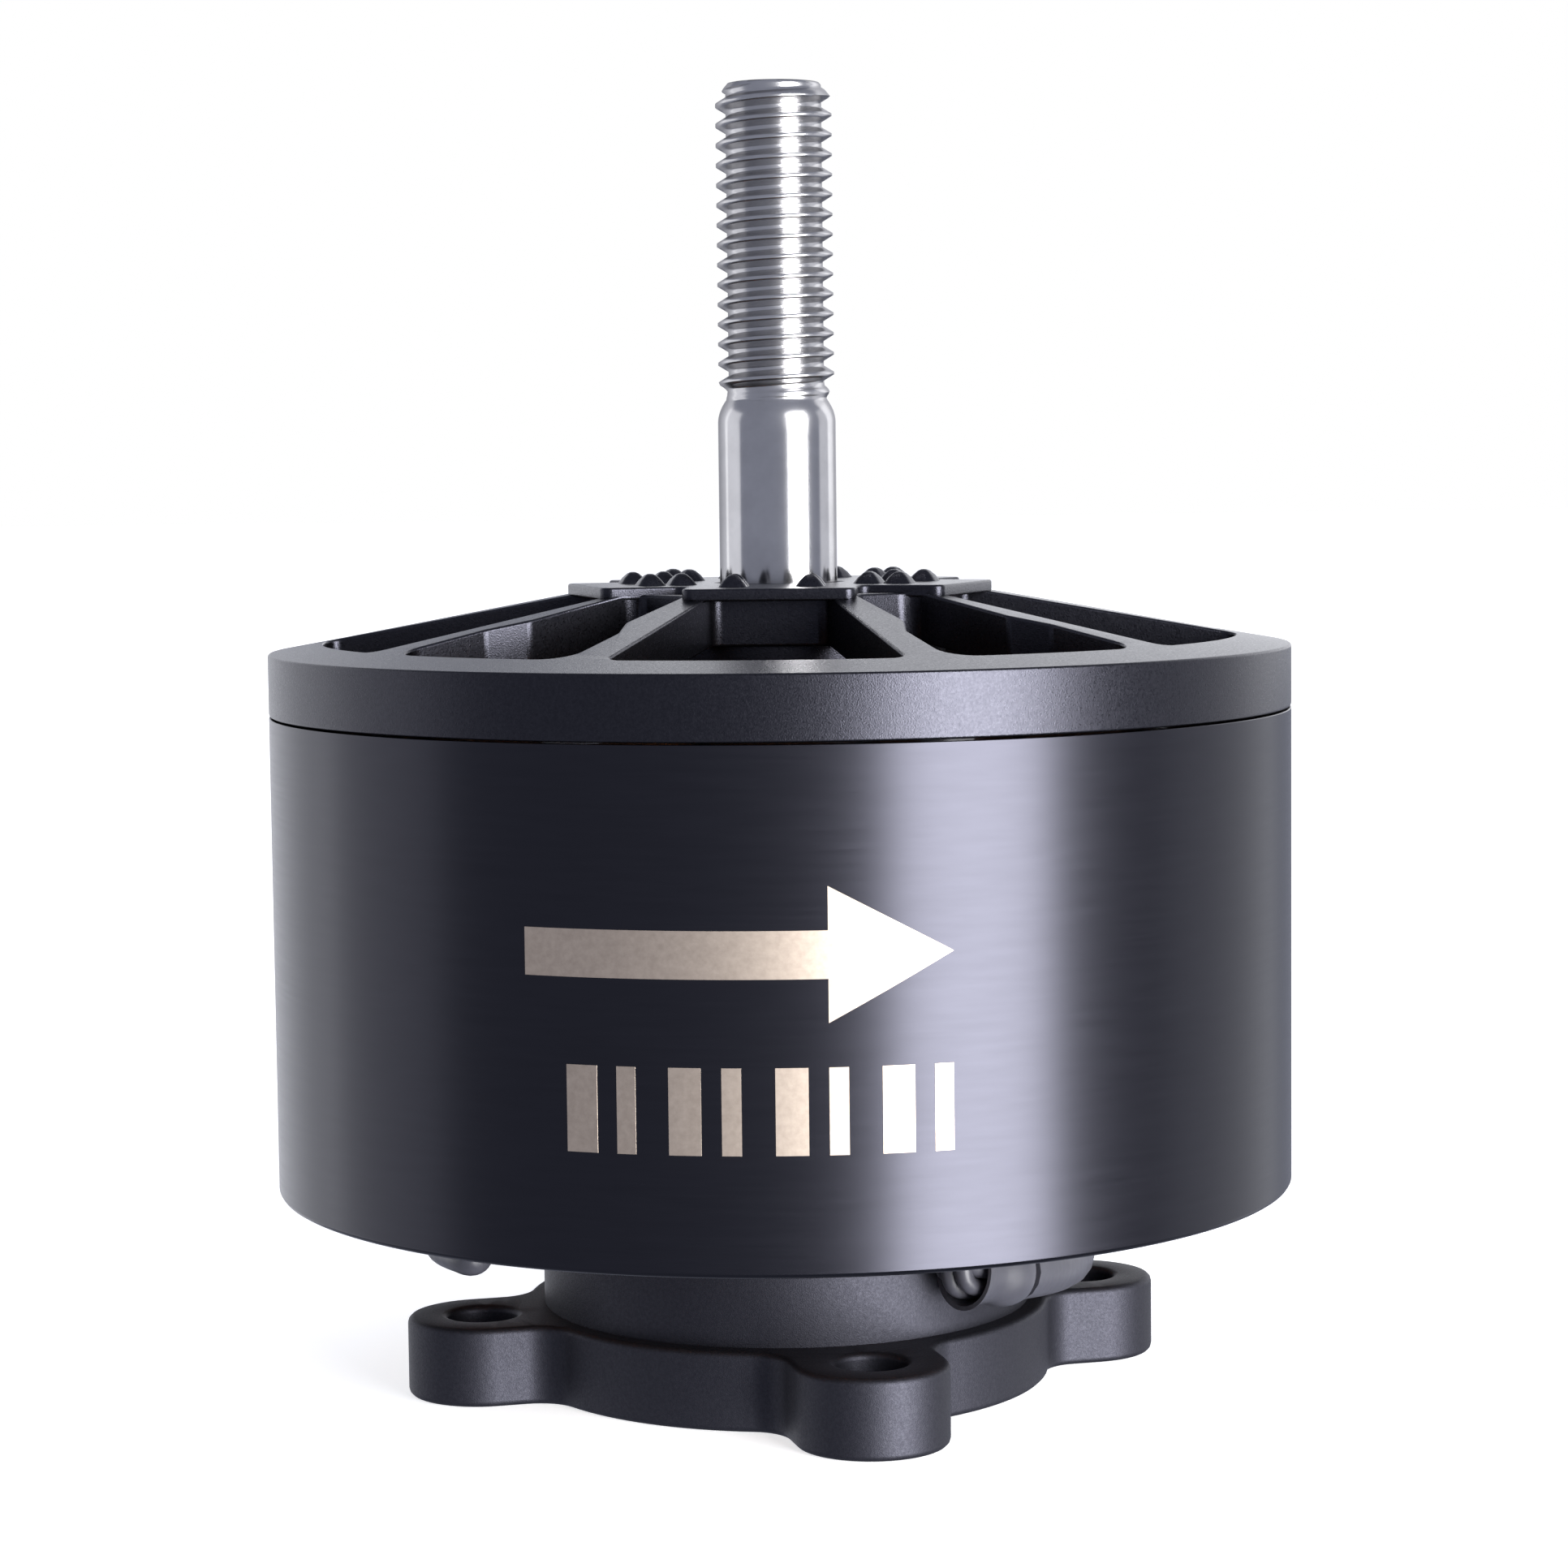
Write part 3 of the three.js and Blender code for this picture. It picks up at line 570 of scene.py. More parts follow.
def make_leads():
    for phase, route in LEAD_ROUTES.items():
        points = [Vector(p) for p in route]
        line = through(points)
        data = bpy.data.curves.new(f"lead_{phase}", "CURVE")
        data.dimensions = "3D"
        data.bevel_depth = LEAD_DIAMETER / 2 * MM
        data.bevel_resolution = 6
        data.use_fill_caps = True
        spline = data.splines.new("POLY")
        spline.points.add(len(line) - 1)
        for place, point in zip(spline.points, line):
            place.co = (*(point * MM), 1)
        spline.use_smooth = True
        lead = bpy.data.objects.new(f"lead_{phase}", data)
        bpy.context.scene.collection.objects.link(lead)
        install(lead, "stator", "lead_sleeving", FINISHES["lead_sleeving"], f"phase_lead_{phase}")
        end = lead_end(phase, line[-1], (line[-1] - line[-2]).normalized())
        length = sum((b - a).length for a, b in zip(line, line[1:])) * MM


make_leads()


def collar(phase, route):
    """A wrinkled shrink sleeve with an open mouth, and the winding's sleeved tails that go into it."""
    outer_radius, inner_radius, flare, flare_share = 1.72, 1.50, 0.18, 7
    tail_radius, tail_ring, tail_depth, tail_out, tail_rise, tail_top = 0.46, 0.92, 2.5, 0.15, 1.3, 1.0
    line = through([Vector(p) for p in route], 10)
    outer, inner = [], []
    for i, point in enumerate(line):
        share = i / (len(line) - 1)
        wrinkle = 0.10 * noise.noise(point * 0.9) + 0.07 * math.sin(9 * share + len(phase))
        mouth = flare * max(0, 1 - share * flare_share)
        outer.append(outer_radius + wrinkle + mouth)
        inner.append(inner_radius + wrinkle + mouth)
    sleeve = add_object(f"collar_{phase}", *tube_data(line, outer, 40, inner), sharp=60)
    install(sleeve, "stator", "lead_sleeving", FINISHES["lead_sleeving"], f"lead_collar_{phase}")
    tails = []
    way, side, up = frames_along(line)[0]
    for k in range(7):
        turn = 2 * math.pi * k / 6
        offset = (0 if k == 6 else tail_ring) * (math.cos(turn) * side + math.sin(turn) * up)
        inward = line[0] + offset + way * tail_depth
        out = line[0] + offset - way * tail_out
        rise = out - way * 0.5 + Vector((0, 0, tail_rise + 0.15 * math.sin(turn)))
        path = through([inward, out, rise, rise + Vector((0, 0, tail_top))], 6)
        tails.append(tube_data(path, [tail_radius] * len(path), 12))
    bundle = add_object(f"winding_tails_{phase}", *joined_data(tails), sharp=60)
    install(bundle, "stator", "lead_sleeving", FINISHES["lead_sleeving"])


for phase, route in COLLAR_ROUTES.items():
    collar(phase, route)


def star_joint():
    """The sleeve over the star joint, pinched at both ends."""
    count, sides = 40, 28
    distance, start_azimuth, spread, height, sleeve_radius, end_radius = 18.6, -69, 16, 8.35, 1.1, 0.05
    points = [polar(distance, start_azimuth + spread * i / (count - 1), height) for i in range(count)]
    radii = []
    for i, point in enumerate(points):
        share = 2 * i / (count - 1) - 1
        rounding = (1 - abs(share) ** 5) ** 0.5
        radii.append(max(end_radius, sleeve_radius * rounding * (1 + 0.05 * noise.noise(point))))
    joint = add_object("star_sleeve", *tube_data(points, radii, sides), sharp=60)
    install(joint, "stator", "lead_sleeving", FINISHES["lead_sleeving"], "star_joint_sleeve")


star_joint()

# Base
ARM_AZIMUTH = 14.5
ARM_RADIUS = 3.8
BOLT_CIRCLE_RADIUS = 16
BOLT_HOLE_RADIUS = 1.75
WEB_RADIUS = 13.55
ARM_FILLET = 2.0
PLATE_TOP = 4.0
BOSS_RADIUS = 12.55
BOSS_TOP = 8.6
SEAT_RADIUS = 6.55
SEAT_END = 28.2
LOWER_SEAT_TOP = 6.8
THROAT_RADIUS = 5.8
PLATE_BORE = 7.6
PLUG_RADIUS = 9.5
PLUG_BOTTOM = 0.12
BOSS_BOTTOM = 3.0
TUBE_RADIUS = 8.0


def circle(radius, centre=Vector((0, 0)), count=48):
    return [centre + polar(radius, 360 * i / count) for i in range(count)]


def armed_outline():
    """The plate's outline: a round web with four arms, and a fillet on each side of each arm."""
    outline = []
    along = math.sqrt((WEB_RADIUS + ARM_FILLET) ** 2 - (ARM_RADIUS + ARM_FILLET) ** 2)
    web_angle = math.degrees(math.atan2(ARM_RADIUS + ARM_FILLET, along))
    for arm in range(4):
        azimuth = ARM_AZIMUTH + 90 * arm
        out, side = polar(1, azimuth), polar(1, azimuth + 90)
        for sign in (-1, 1):
            centre = out * along + side * sign * (ARM_RADIUS + ARM_FILLET)
            turns = [web_angle + (90 - web_angle) * k / 8 for k in range(9)]
            bend = [
                centre - ARM_FILLET * (
                    out * math.cos(math.radians(t)) + sign * side * math.sin(math.radians(t)))
                for t in turns
            ]
            if sign < 0:
                outline += bend
                tip = out * BOLT_CIRCLE_RADIUS
                outline += [
                    tip + ARM_RADIUS * (
                        out * math.sin(math.pi * k / 28) - side * math.cos(math.pi * k / 28))
                    for k in range(29)
                ]
            else:
                outline += bend[::-1]
        outline += arc(WEB_RADIUS, azimuth + web_angle, azimuth + 90 - web_angle, 3)[1:-1]
    return outline


def mounting_base():
    holes = [circle(BOLT_HOLE_RADIUS, polar(BOLT_CIRCLE_RADIUS, ARM_AZIMUTH + 90 * arm)) for arm in range(4)]
    plate = slab("base", [armed_outline(), circle(PLATE_BORE, count=96), *holes], PLATE_TOP, 0, bevel=0.35)
    tube = revolved("boss", [
        (SEAT_RADIUS, PLUG_BOTTOM, 0), (PLUG_RADIUS, PLUG_BOTTOM, 0),
        (PLUG_RADIUS, BOSS_BOTTOM, 0), (BOSS_RADIUS, BOSS_BOTTOM, 0),
        (BOSS_RADIUS, BOSS_TOP, 0.35), (TUBE_RADIUS, BOSS_TOP, 0.4),
        (TUBE_RADIUS, TUBE_TOP, 0.2), (SEAT_RADIUS, TUBE_TOP, 0.15),
        (SEAT_RADIUS, SEAT_END, 0), (THROAT_RADIUS, SEAT_END, 0.1),
        (THROAT_RADIUS, LOWER_SEAT_TOP, 0.1), (SEAT_RADIUS, LOWER_SEAT_TOP, 0),
    ])
    base = united(plate, [tube])
    install(base, "stator", "base_anodised", FINISHES["base_anodised"], "mounting_base")


mounting_base()

# Bell
CAP_SLOPE = 0.185
RIM_TOP = 37.65
RIM_EDGE = BELL_RADIUS - 0.3
WINDOW_OUTER = 23.2
WINDOW_INNER = 9.3
LOBE_AZIMUTH = -2.8
LOBE_REACH = 10.2
LOBE_HALF_WIDTH = 4.25
HUB_TOP = 40.9
HUB_RADIUS = 8.5
HUB_BOTTOM = 33.9
SHAFT_BORE = 3.03
SPOKE_SIDE = 17.2
SPOKE_FAR_SIDE = 22.3
SPOKE_ROOT_SIDE = 24.8
KINK_RADII = (15.8, 17.9)
RING_WALL = 2.0
SPOKE_DEPTH = 2.5
PAD_THICKNESS = 0.62
COLUMN_TOP = 39.6


def flux_ring():
    ring = revolved("bell_ring", [
        (BELL_RADIUS - RING_WALL, RING_BOTTOM, 0.25), (BELL_RADIUS, RING_BOTTOM, 0.28),
        (BELL_RADIUS, RING_TOP, 0.05), (BELL_RADIUS - RING_WALL, RING_TOP, 0.05),
    ], segments=360)
    install(ring, "rotor", "ring_anodised", FINISHES["ring_anodised"], "flux_ring")


def cap_top(point):
    radius = max(point.length, LOBE_REACH)
    return RIM_TOP + CAP_SLOPE * (RIM_EDGE - min(radius, RIM_EDGE))


def cap_bottom(point):
    if point.length > WINDOW_OUTER - 0.05:
        return CAP_BOTTOM
    return cap_top(point) - SPOKE_DEPTH


def lobe_window(azimuth):
    return filleted([
        (polar(WINDOW_INNER, azimuth - SPOKE_SIDE), 0.6),
        (polar(WINDOW_OUTER, azimuth - SPOKE_SIDE), 0.7),
        *[(p, 0) for p in arc(WINDOW_OUTER, azimuth - SPOKE_SIDE + 2, azimuth + SPOKE_SIDE - 2)],
        (polar(WINDOW_OUTER, azimuth + SPOKE_SIDE), 0.7),
        (polar(WINDOW_INNER, azimuth + SPOKE_SIDE), 0.6),
    ])


def between_window(azimuth):
    wide, narrow = 36 - SPOKE_FAR_SIDE, 36 - SPOKE_ROOT_SIDE
    return filleted([
        (polar(WINDOW_INNER, azimuth - narrow), 1.0),
        (polar(KINK_RADII[0], azimuth - narrow), 1.0), (polar(KINK_RADII[1], azimuth - wide), 1.0),
        (polar(WINDOW_OUTER, azimuth - wide), 1.5),
        *[(p, 0) for p in arc(WINDOW_OUTER, azimuth - wide + 4.2, azimuth + wide - 4.2)],
        (polar(WINDOW_OUTER, azimuth + wide), 1.5),
        (polar(KINK_RADII[1], azimuth + wide), 1.0), (polar(KINK_RADII[0], azimuth + narrow), 1.0),
        (polar(WINDOW_INNER, azimuth + narrow), 1.0),
    ])


def pad_outline():
    """The five lobes of the propeller seat as one outline."""
    corners = []
    notch = LOBE_HALF_WIDTH / math.sin(math.radians(36))
    for lobe in range(5):
        azimuth = LOBE_AZIMUTH + 72 * lobe
        out, side = polar(1, azimuth), polar(1, azimuth + 90)
        corners.append((out * LOBE_REACH - side * LOBE_HALF_WIDTH, 0.55))
        corners.append((out * LOBE_REACH + side * LOBE_HALF_WIDTH, 0.55))
        corners.append((polar(notch, azimuth + 36), 0.5))
    return filleted(corners)


def pyramids():
    """Two by two grip pyramids on each lobe, with blunt tips and edges."""
    levels = [(0.80, -0.15), (0.70, 0.02), (0.50, 0.30), (0.27, 0.52), (0.12, 0.59)]
    sides, tip, half_gap, rows, squareness = 20, 0.6, 1.9, (5.6, 7.2), 6
    parts = []
    for lobe in range(5):
        azimuth = LOBE_AZIMUTH + 72 * lobe
        out, side = polar(1, azimuth), polar(1, azimuth + 90)
        for across in (-half_gap, half_gap):
            for along in rows:
                centre = out * along + side * across
                points = []
                for half, height in levels:
                    for k in range(sides):
                        turn = 2 * math.pi * k / sides
                        x, y = math.cos(turn), math.sin(turn)
                        reach = half / (abs(x) ** squareness + abs(y) ** squareness) ** (1 / squareness)
                        spot = centre + reach * (x * side + y * out)
                        points.append((spot.x, spot.y, HUB_TOP + height))
                points.append((centre.x, centre.y, HUB_TOP + tip))
                faces = [tuple(range(sides))[::-1]]
                for level in range(len(levels) - 1):
                    p, q = level * sides, (level + 1) * sides
                    faces += [(p + k, p + (k + 1) % sides, q + (k + 1) % sides, q + k) for k in range(sides)]
                last = (len(levels) - 1) * sides
                faces += [(last + k, last + (k + 1) % sides, len(points) - 1) for k in range(sides)]
                parts.append((points, faces))
    return add_object("pyramids", *joined_data(parts), sharp=30)


def top_cap():
    loops = [arc(BELL_RADIUS, 0, 360, 1)[:-1], circle(SHAFT_BORE, count=64)]
    for lobe in range(5):
        loops.append(lobe_window(LOBE_AZIMUTH + 72 * lobe))
        loops.append(between_window(LOBE_AZIMUTH + 36 + 72 * lobe))
    spokes = slab("cap", loops, cap_top, cap_bottom, bevel=0.14)
    pad_loops = [pad_outline(), circle(SHAFT_BORE + 0.25, count=64)]
    pad = slab("pad", pad_loops, HUB_TOP, HUB_TOP - PAD_THICKNESS, bevel=0.12)
    column = revolved("column", [
        (SHAFT_BORE + 0.1, HUB_BOTTOM, 0.1), (HUB_RADIUS, HUB_BOTTOM, 0.3),
        (HUB_RADIUS, COLUMN_TOP, 0), (SHAFT_BORE + 0.1, COLUMN_TOP, 0),
    ])
    cap = united(spokes, [column, pad, pyramids()])
    install(cap, "rotor", "cap_anodised", FINISHES["cap_anodised"], "top_cap")


flux_ring()
top_cap()


# Shaft
SHANK_TOP = 49.0
THREAD_BOTTOM = 50.2
THREAD_ROOT = 2.43
THREAD_CREST = 2.95
THREAD_PITCH = 1.0
CREST_SHARE = 0.13
ROOT_SHARE = 0.76
THREAD_START = 0.9
SHOULDER_STEP = 0.12
TIP_LENGTH = 0.75
TIP_CHAMFER = 0.62
FOOT_RADIUS = 2.6


def shaft_radius(turn, z):
    """The shaft's radius: plain, a rounded shoulder, the thread, and a chamfered tip."""
    tip = SHAFT_TOP - TIP_LENGTH
    if z <= SHANK_TOP:
        return min(SHAFT_RADIUS, FOOT_RADIUS + (z - SHAFT_BOTTOM))
    if z < THREAD_BOTTOM:
        drop = SHAFT_RADIUS - THREAD_ROOT - SHOULDER_STEP
        return SHAFT_RADIUS - drop * ((z - SHANK_TOP) / (THREAD_BOTTOM - SHANK_TOP)) ** 2
    phase = (z / THREAD_PITCH - turn / (2 * math.pi)) % 1
    flank = min(1, max(0, (abs(2 * phase - 1) - CREST_SHARE) / (ROOT_SHARE - CREST_SHARE)))
    start = min(1, (z - THREAD_BOTTOM) / THREAD_START)
    radius = THREAD_ROOT + (THREAD_CREST - THREAD_ROOT) * (1 - flank) * start + SHOULDER_STEP * (1 - start)
    return min(radius, THREAD_CREST - TIP_CHAMFER * max(0, z - tip) / (SHAFT_TOP - tip))


def motor_shaft():
    """The stem's rings, then rows that climb with the thread, and each turn's rows join the next turn's."""
    sides = 96
    shares = (0, 0.12, 0.225, 0.33, 0.435, 0.5, 0.565, 0.67, 0.775, 0.88)

    def spot(k, z):
        turn = 2 * math.pi * k / sides
        z = min(SHAFT_TOP, z)
        radius = shaft_radius(turn, z)
        return radius * math.cos(turn), radius * math.sin(turn), z

    foot = [SHAFT_BOTTOM, SHAFT_BOTTOM + 0.2, SHAFT_BOTTOM + 0.4]
    stem = [*foot, 10, 20, 30, 40, 45, SHANK_TOP - 0.1, SHANK_TOP]
    vertices = [spot(k, z) for z in stem for k in range(sides)]
    faces = []
    for i in range(len(stem) - 1):
        for k in range(sides):
            n = (k + 1) % sides
            faces.append((i * sides + k, i * sides + n, (i + 1) * sides + n, (i + 1) * sides + k))
    base = len(vertices)
    first, last = math.floor(SHANK_TOP) - 1, math.ceil(SHAFT_TOP) + 1
    rows = [(turn_number + share) * THREAD_PITCH for turn_number in range(first, last) for share in shares]
    for row in rows:
        vertices += [spot(k, max(SHANK_TOP, row + THREAD_PITCH * k / sides)) for k in range(sides)]
    for i in range(len(rows) - 1 - len(shares)):
        for k in range(sides):
            n, up = ((k + 1), i) if k + 1 < sides else (0, i + len(shares))
            faces.append((base + i * sides + k, base + up * sides + n,
                          base + (up + 1) * sides + n, base + (i + 1) * sides + k))
    faces += [tuple(range(sides))[::-1], tuple(len(vertices) - sides + k for k in range(sides))]
    shaft = add_object("shaft", vertices, faces, sharp=66)
    install(shaft, "rotor", "shaft_steel", FINISHES["shaft_steel"], "motor_shaft")


motor_shaft()


def fine_steps(loop, step=0.5):
    """The same outline with more points, so that it can bend."""
    fine = []
    for a, b in zip(loop, loop[1:] + loop[:1]):
        count = max(1, math.ceil((b - a).length / step))
        fine += [a.lerp(b, k / count) for k in range(count)]
    return fine


def wrapped(name, loops, azimuth, height, radius=BELL_RADIUS, thickness=0.02):
    """A thin flat shape laid round the bell, centred at an azimuth and a height."""
    loops = [fine_steps(loop) for loop in loops]
    grid = [(x / 2, y / 2) for x in range(-24, 25) for y in range(-8, 9)]
    extra = [p for p in grid if all_inside(p, loops)]
    shape = slab(name, loops, thickness, -thickness, bevel=0.004, steps=1, extra=extra)
    for vertex in shape.data.vertices:
        x, y, z = vertex.co / MM
        turn = azimuth + math.degrees(x / radius)
        vertex.co = polar(radius + z, turn, height + y) * MM
    finish_mesh(shape)
    install(shape, "rotor", "laser_mark", FINISHES["laser_mark"])


def all_inside(point, loops):
    """Whether a point is well inside the shape."""
    near = 0.12
    tests = [Vector(point) + Vector(step) for step in ((near, 0), (-near, 0), (0, near), (0, -near))]
    return all(inside(test, loops) for test in tests)


def box_outline(x0, y0, x1, y1):
    return [Vector(p) for p in ((x0, y0), (x1, y0), (x1, y1), (x0, y1))]


def laser_marks():
    """A plain direction arrow over a row of bars."""
    half_length, half_stem, neck, half_head = 10, 1.1, 4.2, 3.1
    arrow = [Vector(p) for p in (
        (-half_length, -half_stem), (neck, -half_stem), (neck, -half_head), (half_length, 0),
        (neck, half_head), (neck, half_stem), (-half_length, half_stem),
    )]
    wrapped("mark_arrow", [arrow], azimuth=-4.8, height=25.0)
    left, pitch, half_height, wide, narrow = -8.5, 2.43, 2, 1.5, 0.9
    for bar in range(8):
        x = left + bar * pitch
        outline = box_outline(x, -half_height, x + (narrow if bar % 2 else wide), half_height)
        wrapped(f"mark_bar_{bar + 1}", [outline], azimuth=-3.6, height=17.9)


laser_marks()


# Inside the bell
MAGNETS = 14
MAGNET_OUTER = 23.8
MAGNET_INNER = 21.95
MAGNET_HALF_ANGLE = 11.2
MAGNET_BOTTOM = 11.4
MAGNET_TOP = 32
SLOTS = 12
CORE_BORE = 8.05
CORE_RADIUS = 21.5
SHEET_RADIUS = 21.2
SHEET_THICKNESS = 0.5
HALF_TOOTH = 1.7


def magnets():
    for magnet in range(MAGNETS):
        middle = 360 / MAGNETS * magnet
        start, end = middle - MAGNET_HALF_ANGLE, middle + MAGNET_HALF_ANGLE
        loop = arc(MAGNET_OUTER, start, end, 1.2) + arc(MAGNET_INNER, end, start, 1.2)
        piece = slab(f"bell_magnet_{magnet + 1:02d}", [loop], MAGNET_TOP, MAGNET_BOTTOM, bevel=0.2)
        install(piece, "rotor", "magnet_nickel", FINISHES["magnet_nickel"], f"magnet_{magnet + 1:02d}")


def toothed_outline(tip_radius):
    yoke, tip_inner, tip_angle, tip_edge = 11.6, 20.1, 12.6, 0.7
    corners = []
    for slot in range(SLOTS):
        middle = 360 / SLOTS * slot
        at_yoke = math.degrees(math.asin(HALF_TOOTH / yoke))
        at_tip = math.degrees(math.asin(HALF_TOOTH / tip_inner))
        corners.append((polar(yoke, middle - at_yoke), 0.5))
        corners.append((polar(tip_inner, middle - at_tip), 0.6))
        corners.append((polar(tip_radius - tip_edge, middle - tip_angle), 0))
        corners += [(p, 0) for p in arc(tip_radius, middle - tip_angle, middle + tip_angle, 2)]
        corners.append((polar(tip_radius - tip_edge, middle + tip_angle), 0))
        corners.append((polar(tip_inner, middle + at_tip), 0.6))
        corners.append((polar(yoke, middle + at_yoke), 0.5))
    return filleted(corners)


def stator():
    bore = circle(CORE_BORE, count=96)
    core = slab("core", [toothed_outline(CORE_RADIUS), bore], STATOR_TOP, STATOR_BOTTOM, bevel=0.08, steps=2)
    install(core, "stator", "lamination", FINISHES["lamination"], "stator_core")
    for name, bottom in (("upper", STATOR_TOP), ("lower", STATOR_BOTTOM - SHEET_THICKNESS)):
        top = STATOR_BOTTOM if name == "lower" else STATOR_TOP + SHEET_THICKNESS
        loops = [toothed_outline(SHEET_RADIUS), bore]
        sheet = slab(f"{name}_insulator", loops, top, bottom, bevel=0.1, steps=2)
        install(sheet, "stator", "slot_insulation", FINISHES["slot_insulation"], f"insulator_{name}")


def winding_path():
    """One wire wound on a tooth that points to the front: eight turns outwards, then six back over them."""
    path = []
    low_z, high_z = STATOR_BOTTOM - SHEET_THICKNESS, STATOR_TOP + SHEET_THICKNESS
    wire, gap, layer_step = 0.43, 0.06, 0.78
    for layer, turns, start, pitch in ((0, 8, 12.8, 0.86), (1, 6, 19.0, -0.80)):
        reach = wire + gap + layer_step * layer
        half_x, half_z = HALF_TOOTH + reach, (high_z - low_z) / 2 + reach
        corner = 1.0 + 0.5 * layer
        middle_z = (low_z + high_z) / 2
        loop = []
        for sign_x, sign_z, first in ((1, 1, 0), (-1, 1, 90), (-1, -1, 180), (1, -1, 270)):
            centre = Vector((sign_x * (half_x - corner), sign_z * (half_z - corner)))
            for k in range(4):
                turn = math.radians(first + 30 * k)
                loop.append(centre + corner * Vector((math.cos(turn), math.sin(turn))))
        for step in range(turns * len(loop)):
            spot = loop[step % len(loop)]
            path.append(Vector((spot.x, -(start + pitch * step / len(loop)), middle_z + spot.y)))
    return path


def coils():
    wire_radius = 0.42
    path = winding_path()
    for slot in range(SLOTS):
        turn = Matrix.Rotation(2 * math.pi / SLOTS * slot, 3, "Z")
        own = [turn @ p for p in path]
        wound = add_object(f"winding_{slot + 1:02d}", *tube_data(own, [wire_radius] * len(own), 8), sharp=60)
        name = f"coil_{slot + 1:02d}"
        install(wound, "stator", "enamelled_copper", FINISHES["enamelled_copper"], name)


magnets()
stator()
coils()


def bearings():
    outer_radius, outer_land, outer_groove = 6.5, 5.55, 5.75
    inner_radius, inner_land, inner_groove = 3.05, 3.95, 3.78
    half_groove, cage_inner, cage_outer, half_cage = 0.7, 4.45, 5.05, 0.5
    balls_in_cage, pitch_radius, ball_radius = 7, 4.75, 0.72
    for level in ("lower", "upper"):
        bottom, top = low(f"{level}_bearing_outer"), high(f"{level}_bearing_outer")
        middle = (bottom + top) / 2
        outer = revolved(f"{level}_outer_race", [
            (outer_land, bottom, 0.1), (outer_radius, bottom, 0.25), (outer_radius, top, 0.25),
            (outer_land, top, 0.1), (outer_land, middle + half_groove, 0),
            (outer_groove, middle, 0.4), (outer_land, middle - half_groove, 0),
        ], 128)
        install(outer, "stator", "bearing_steel", FINISHES["bearing_steel"], f"{level}_bearing_outer")
        inner = revolved(f"{level}_inner_race", [
            (inner_radius, bottom, 0.15), (inner_land, bottom, 0.1), (inner_land, middle - half_groove, 0),
            (inner_groove, middle, 0.4), (inner_land, middle + half_groove, 0),
            (inner_land, top, 0.1), (inner_radius, top, 0.15),
        ], 128)
        install(inner, "rotor", "bearing_steel", FINISHES["bearing_steel"], f"{level}_bearing_inner")
        cage_low, cage_high = middle - half_cage, middle + half_cage
        ring = revolved(f"{level}_cage", [
            (cage_inner, cage_low, 0.05), (cage_outer, cage_low, 0.05),
            (cage_outer, cage_high, 0.05), (cage_inner, cage_high, 0.05),
        ], 112)
        balls = bmesh.new()
        for ball in range(balls_in_cage):
            place = Matrix.Translation(polar(pitch_radius, 360 / balls_in_cage * ball, middle) * MM)
            bmesh.ops.create_uvsphere(
                balls, u_segments=24, v_segments=16, radius=ball_radius * MM, matrix=place)
        mesh = bpy.data.meshes.new("balls")
        balls.to_mesh(mesh)
        balls.free()
        cage = united(ring, [bpy.data.objects.new("balls", mesh)])
        install(cage, f"{level}_cage", "cage_brass", FINISHES["cage_brass"], f"{level}_ball_cage")


def small_parts():
    shim_inner, shim_outer = 3.06, 4.3
    shim = revolved("spacer", [
        (shim_inner, low("shim_washer"), 0.05), (shim_outer, low("shim_washer"), 0.12),
        (shim_outer, high("shim_washer"), 0.12), (shim_inner, high("shim_washer"), 0.05),
    ], 96)
    install(shim, "rotor", "bearing_steel", FINISHES["bearing_steel"], "shim_washer")
    clip_outer, clip_inner, open_angle = 4.1, 3.1, 24
    outside = arc(clip_outer, open_angle, 360 - open_angle, 4)
    loop = outside + arc(clip_inner, 360 - open_angle, open_angle, 4)
    clip = slab("clip", [loop], high("shaft_circlip"), low("shaft_circlip"), bevel=0.06, steps=2)
    install(clip, "rotor", "screw_black", FINISHES["screw_black"], "shaft_circlip")
    screw_radius, socket_radius, screw_end, screw_sunk, screw_height = 1.4, 0.75, 3.2, 0.3, 37
    for screw, azimuth in enumerate((LOBE_AZIMUTH + 36, LOBE_AZIMUTH + 180)):
        socket = [polar(socket_radius, 60 * k) for k in range(6)]
        loops = [circle(screw_radius, count=32), socket]
        rod = slab(f"grub_screw_{screw + 1}", loops, HUB_RADIUS - screw_sunk, screw_end, bevel=0.12)
        # The screw's own axis is laid level, pointing out at its azimuth.
        turn = Matrix.Rotation(math.radians(azimuth), 4, "Z") @ Matrix.Rotation(math.pi / 2, 4, "X")
        rod.data.transform(Matrix.Translation((0, 0, screw_height * MM)) @ turn)
        install(rod, "rotor", "screw_black", FINISHES["screw_black"], f"set_screw_{screw + 1}")


bearings()
small_parts()


# Floor and light

def area_light(name, azimuth, elevation, distance, width, height, power):
    """A soft box that looks at the motor's middle. The distance and sizes are in metres."""
    data = bpy.data.lights.new(name, "AREA")
    data.shape = "RECTANGLE"
    data.size, data.size_y = width, height
    data.energy = power
    light = bpy.data.objects.new(name, data)
    bpy.context.scene.collection.objects.link(light)
    level = math.radians(elevation)
    out = Vector(polar(math.cos(level), azimuth, math.sin(level)))
    aim = Vector((0, 0, 0.025))
    light.location = aim + out * distance
    light.rotation_euler = (-out).to_track_quat("-Z", "Y").to_euler()


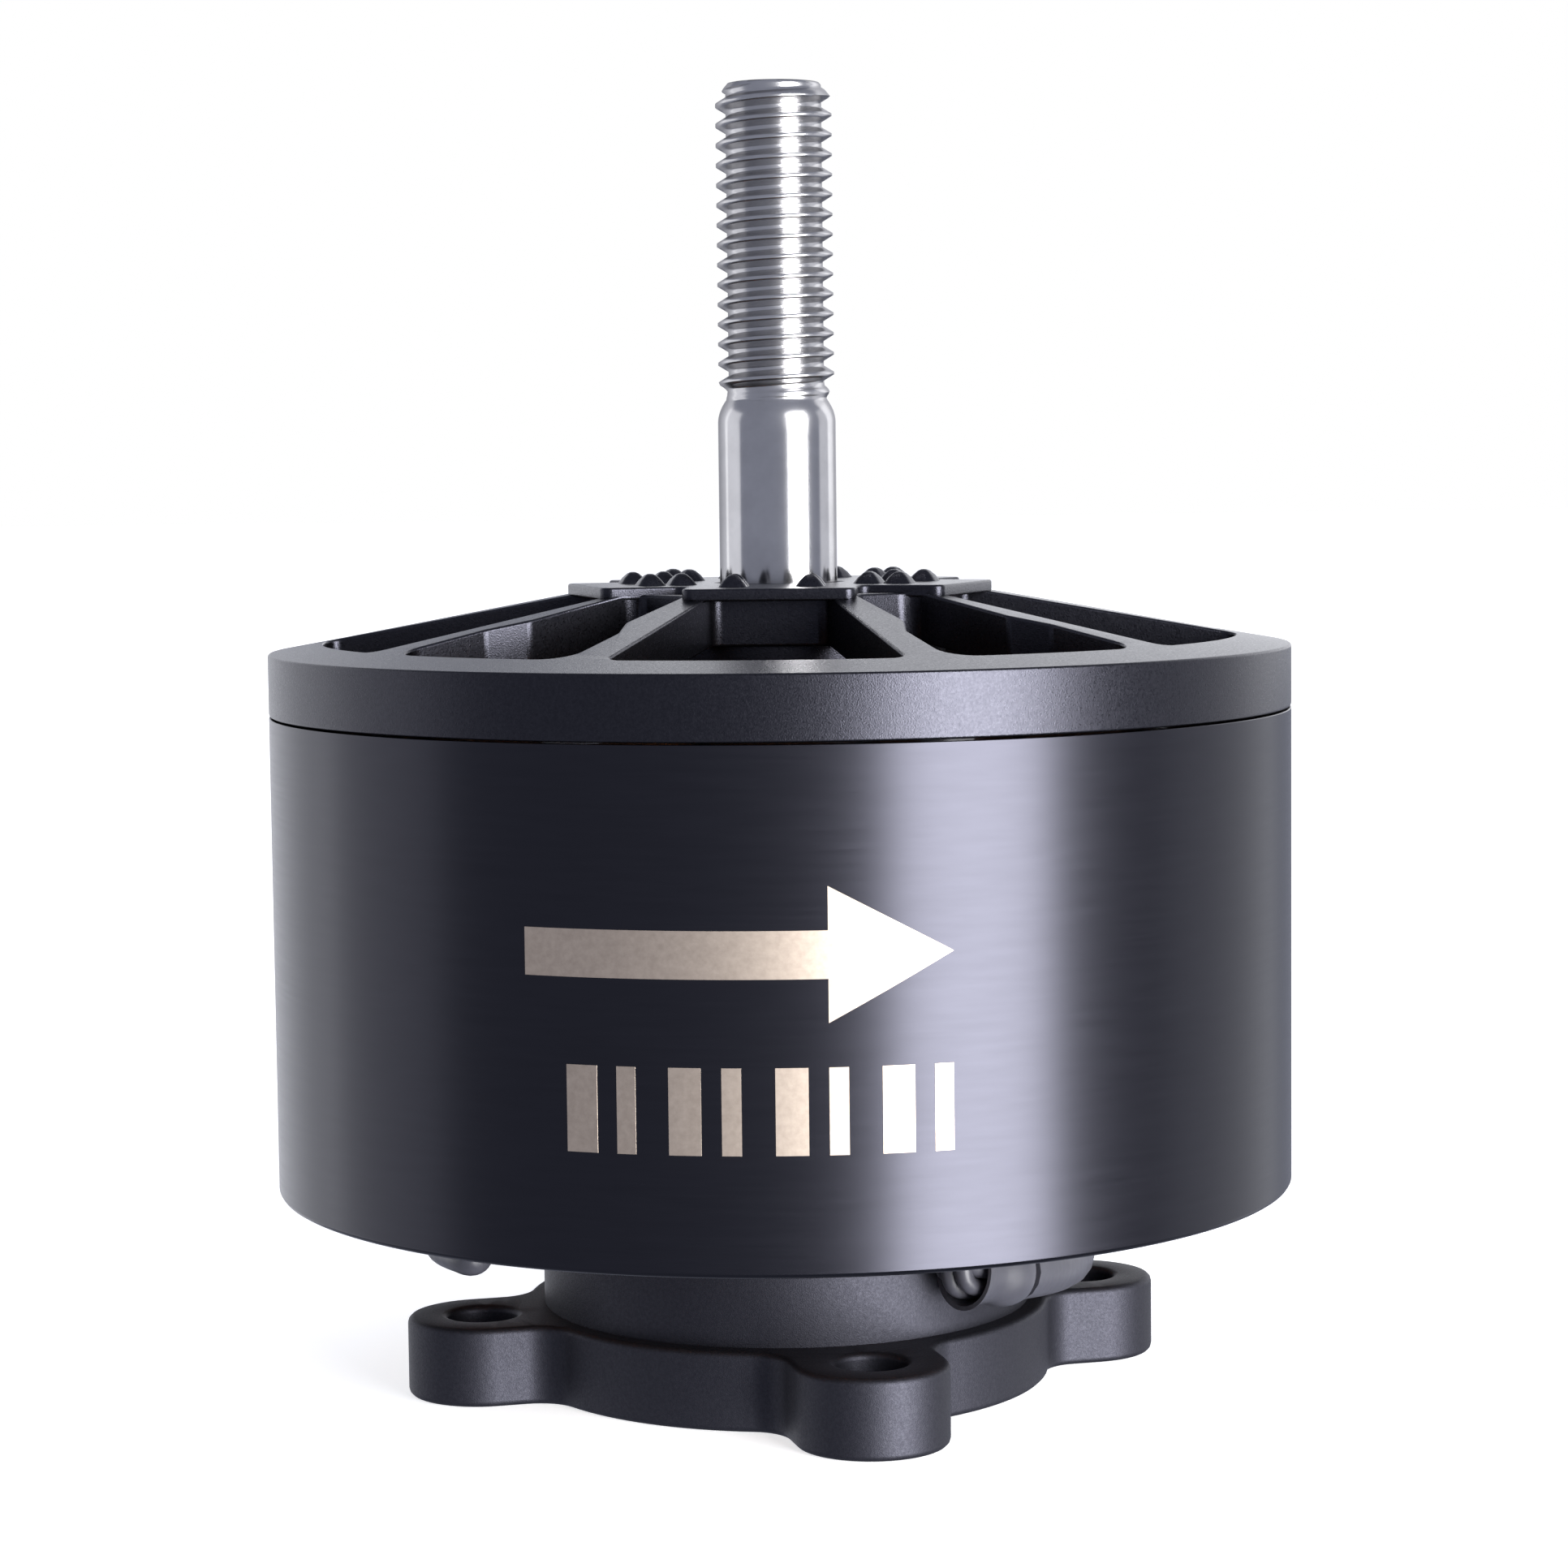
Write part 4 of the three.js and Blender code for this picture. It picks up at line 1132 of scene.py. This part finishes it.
def seen_else(tree, seen, other):
    """One colour where the camera looks straight at it, and another for all other light."""
    path = tree.nodes.new("ShaderNodeLightPath")
    mix = tree.nodes.new("ShaderNodeMix")
    mix.data_type = "RGBA"
    tree.links.new(path.outputs["Is Camera Ray"], mix.inputs["Factor"])
    mix.inputs[6].default_value = (*other, 1)
    mix.inputs[7].default_value = (*seen, 1)
    return mix.outputs[2]


def make_stage():
    mesh = bpy.data.meshes.new("floor")
    side = 3.0
    corners = [(-side, -side, 0), (side, -side, 0), (side, side, 0), (-side, side, 0)]
    mesh.from_pydata(corners, [], [(0, 1, 2, 3)])
    floor = bpy.data.objects.new("floor", mesh)
    bpy.context.scene.collection.objects.link(floor)
    paper = Finish("floor_paper", (0.7, 0.7, 0.7), 0.0, 0.8)
    paper.ramp(paper.noise(40, 2), "Base Color", [(0.3, (0.69, 0.69, 0.70)), (0.7, (0.71, 0.71, 0.72))])
    glow = seen_else(paper.material.node_tree, (1, 1, 1), (0, 0, 0))
    paper.links.new(glow, paper.shader.inputs["Emission Color"])
    # A little less glow near the motor paints a faint shade round it, which deepens its shadow.
    paper.ramp(paper.nearness(0.125), "Emission Strength", [(0, 0.78), (0.7, 0.68)])
    floor.data.materials.append(paper.material)
    # The paper isn't mirrored in the motor, and it doesn't shade the part of a soft box that is below it.
    floor.visible_glossy = False
    floor.visible_shadow = False
    world = bpy.data.worlds.new("studio")
    world.use_nodes = True
    background = world.node_tree.nodes["Background"]
    surround = seen_else(world.node_tree, (1, 1, 1), (0.36, 0.38, 0.47))
    world.node_tree.links.new(surround, background.inputs["Color"])
    bpy.context.scene.world = world
    bpy.context.scene.view_settings.view_transform = "Standard"
    area_light("key", 41, 0, 0.8, 0.5, 1.0, 31)
    area_light("back", 150, 22, 1.0, 1.3, 0.86, 4.2)
    area_light("right_edge", 116, 0, 0.9, 0.84, 1.0, 1.7)
    area_light("left_edge", -142, 5, 0.9, 0.95, 1.0, 2.3)
    area_light("left_fill", -100, 0, 0.9, 0.72, 1.0, 2.0)


make_stage()
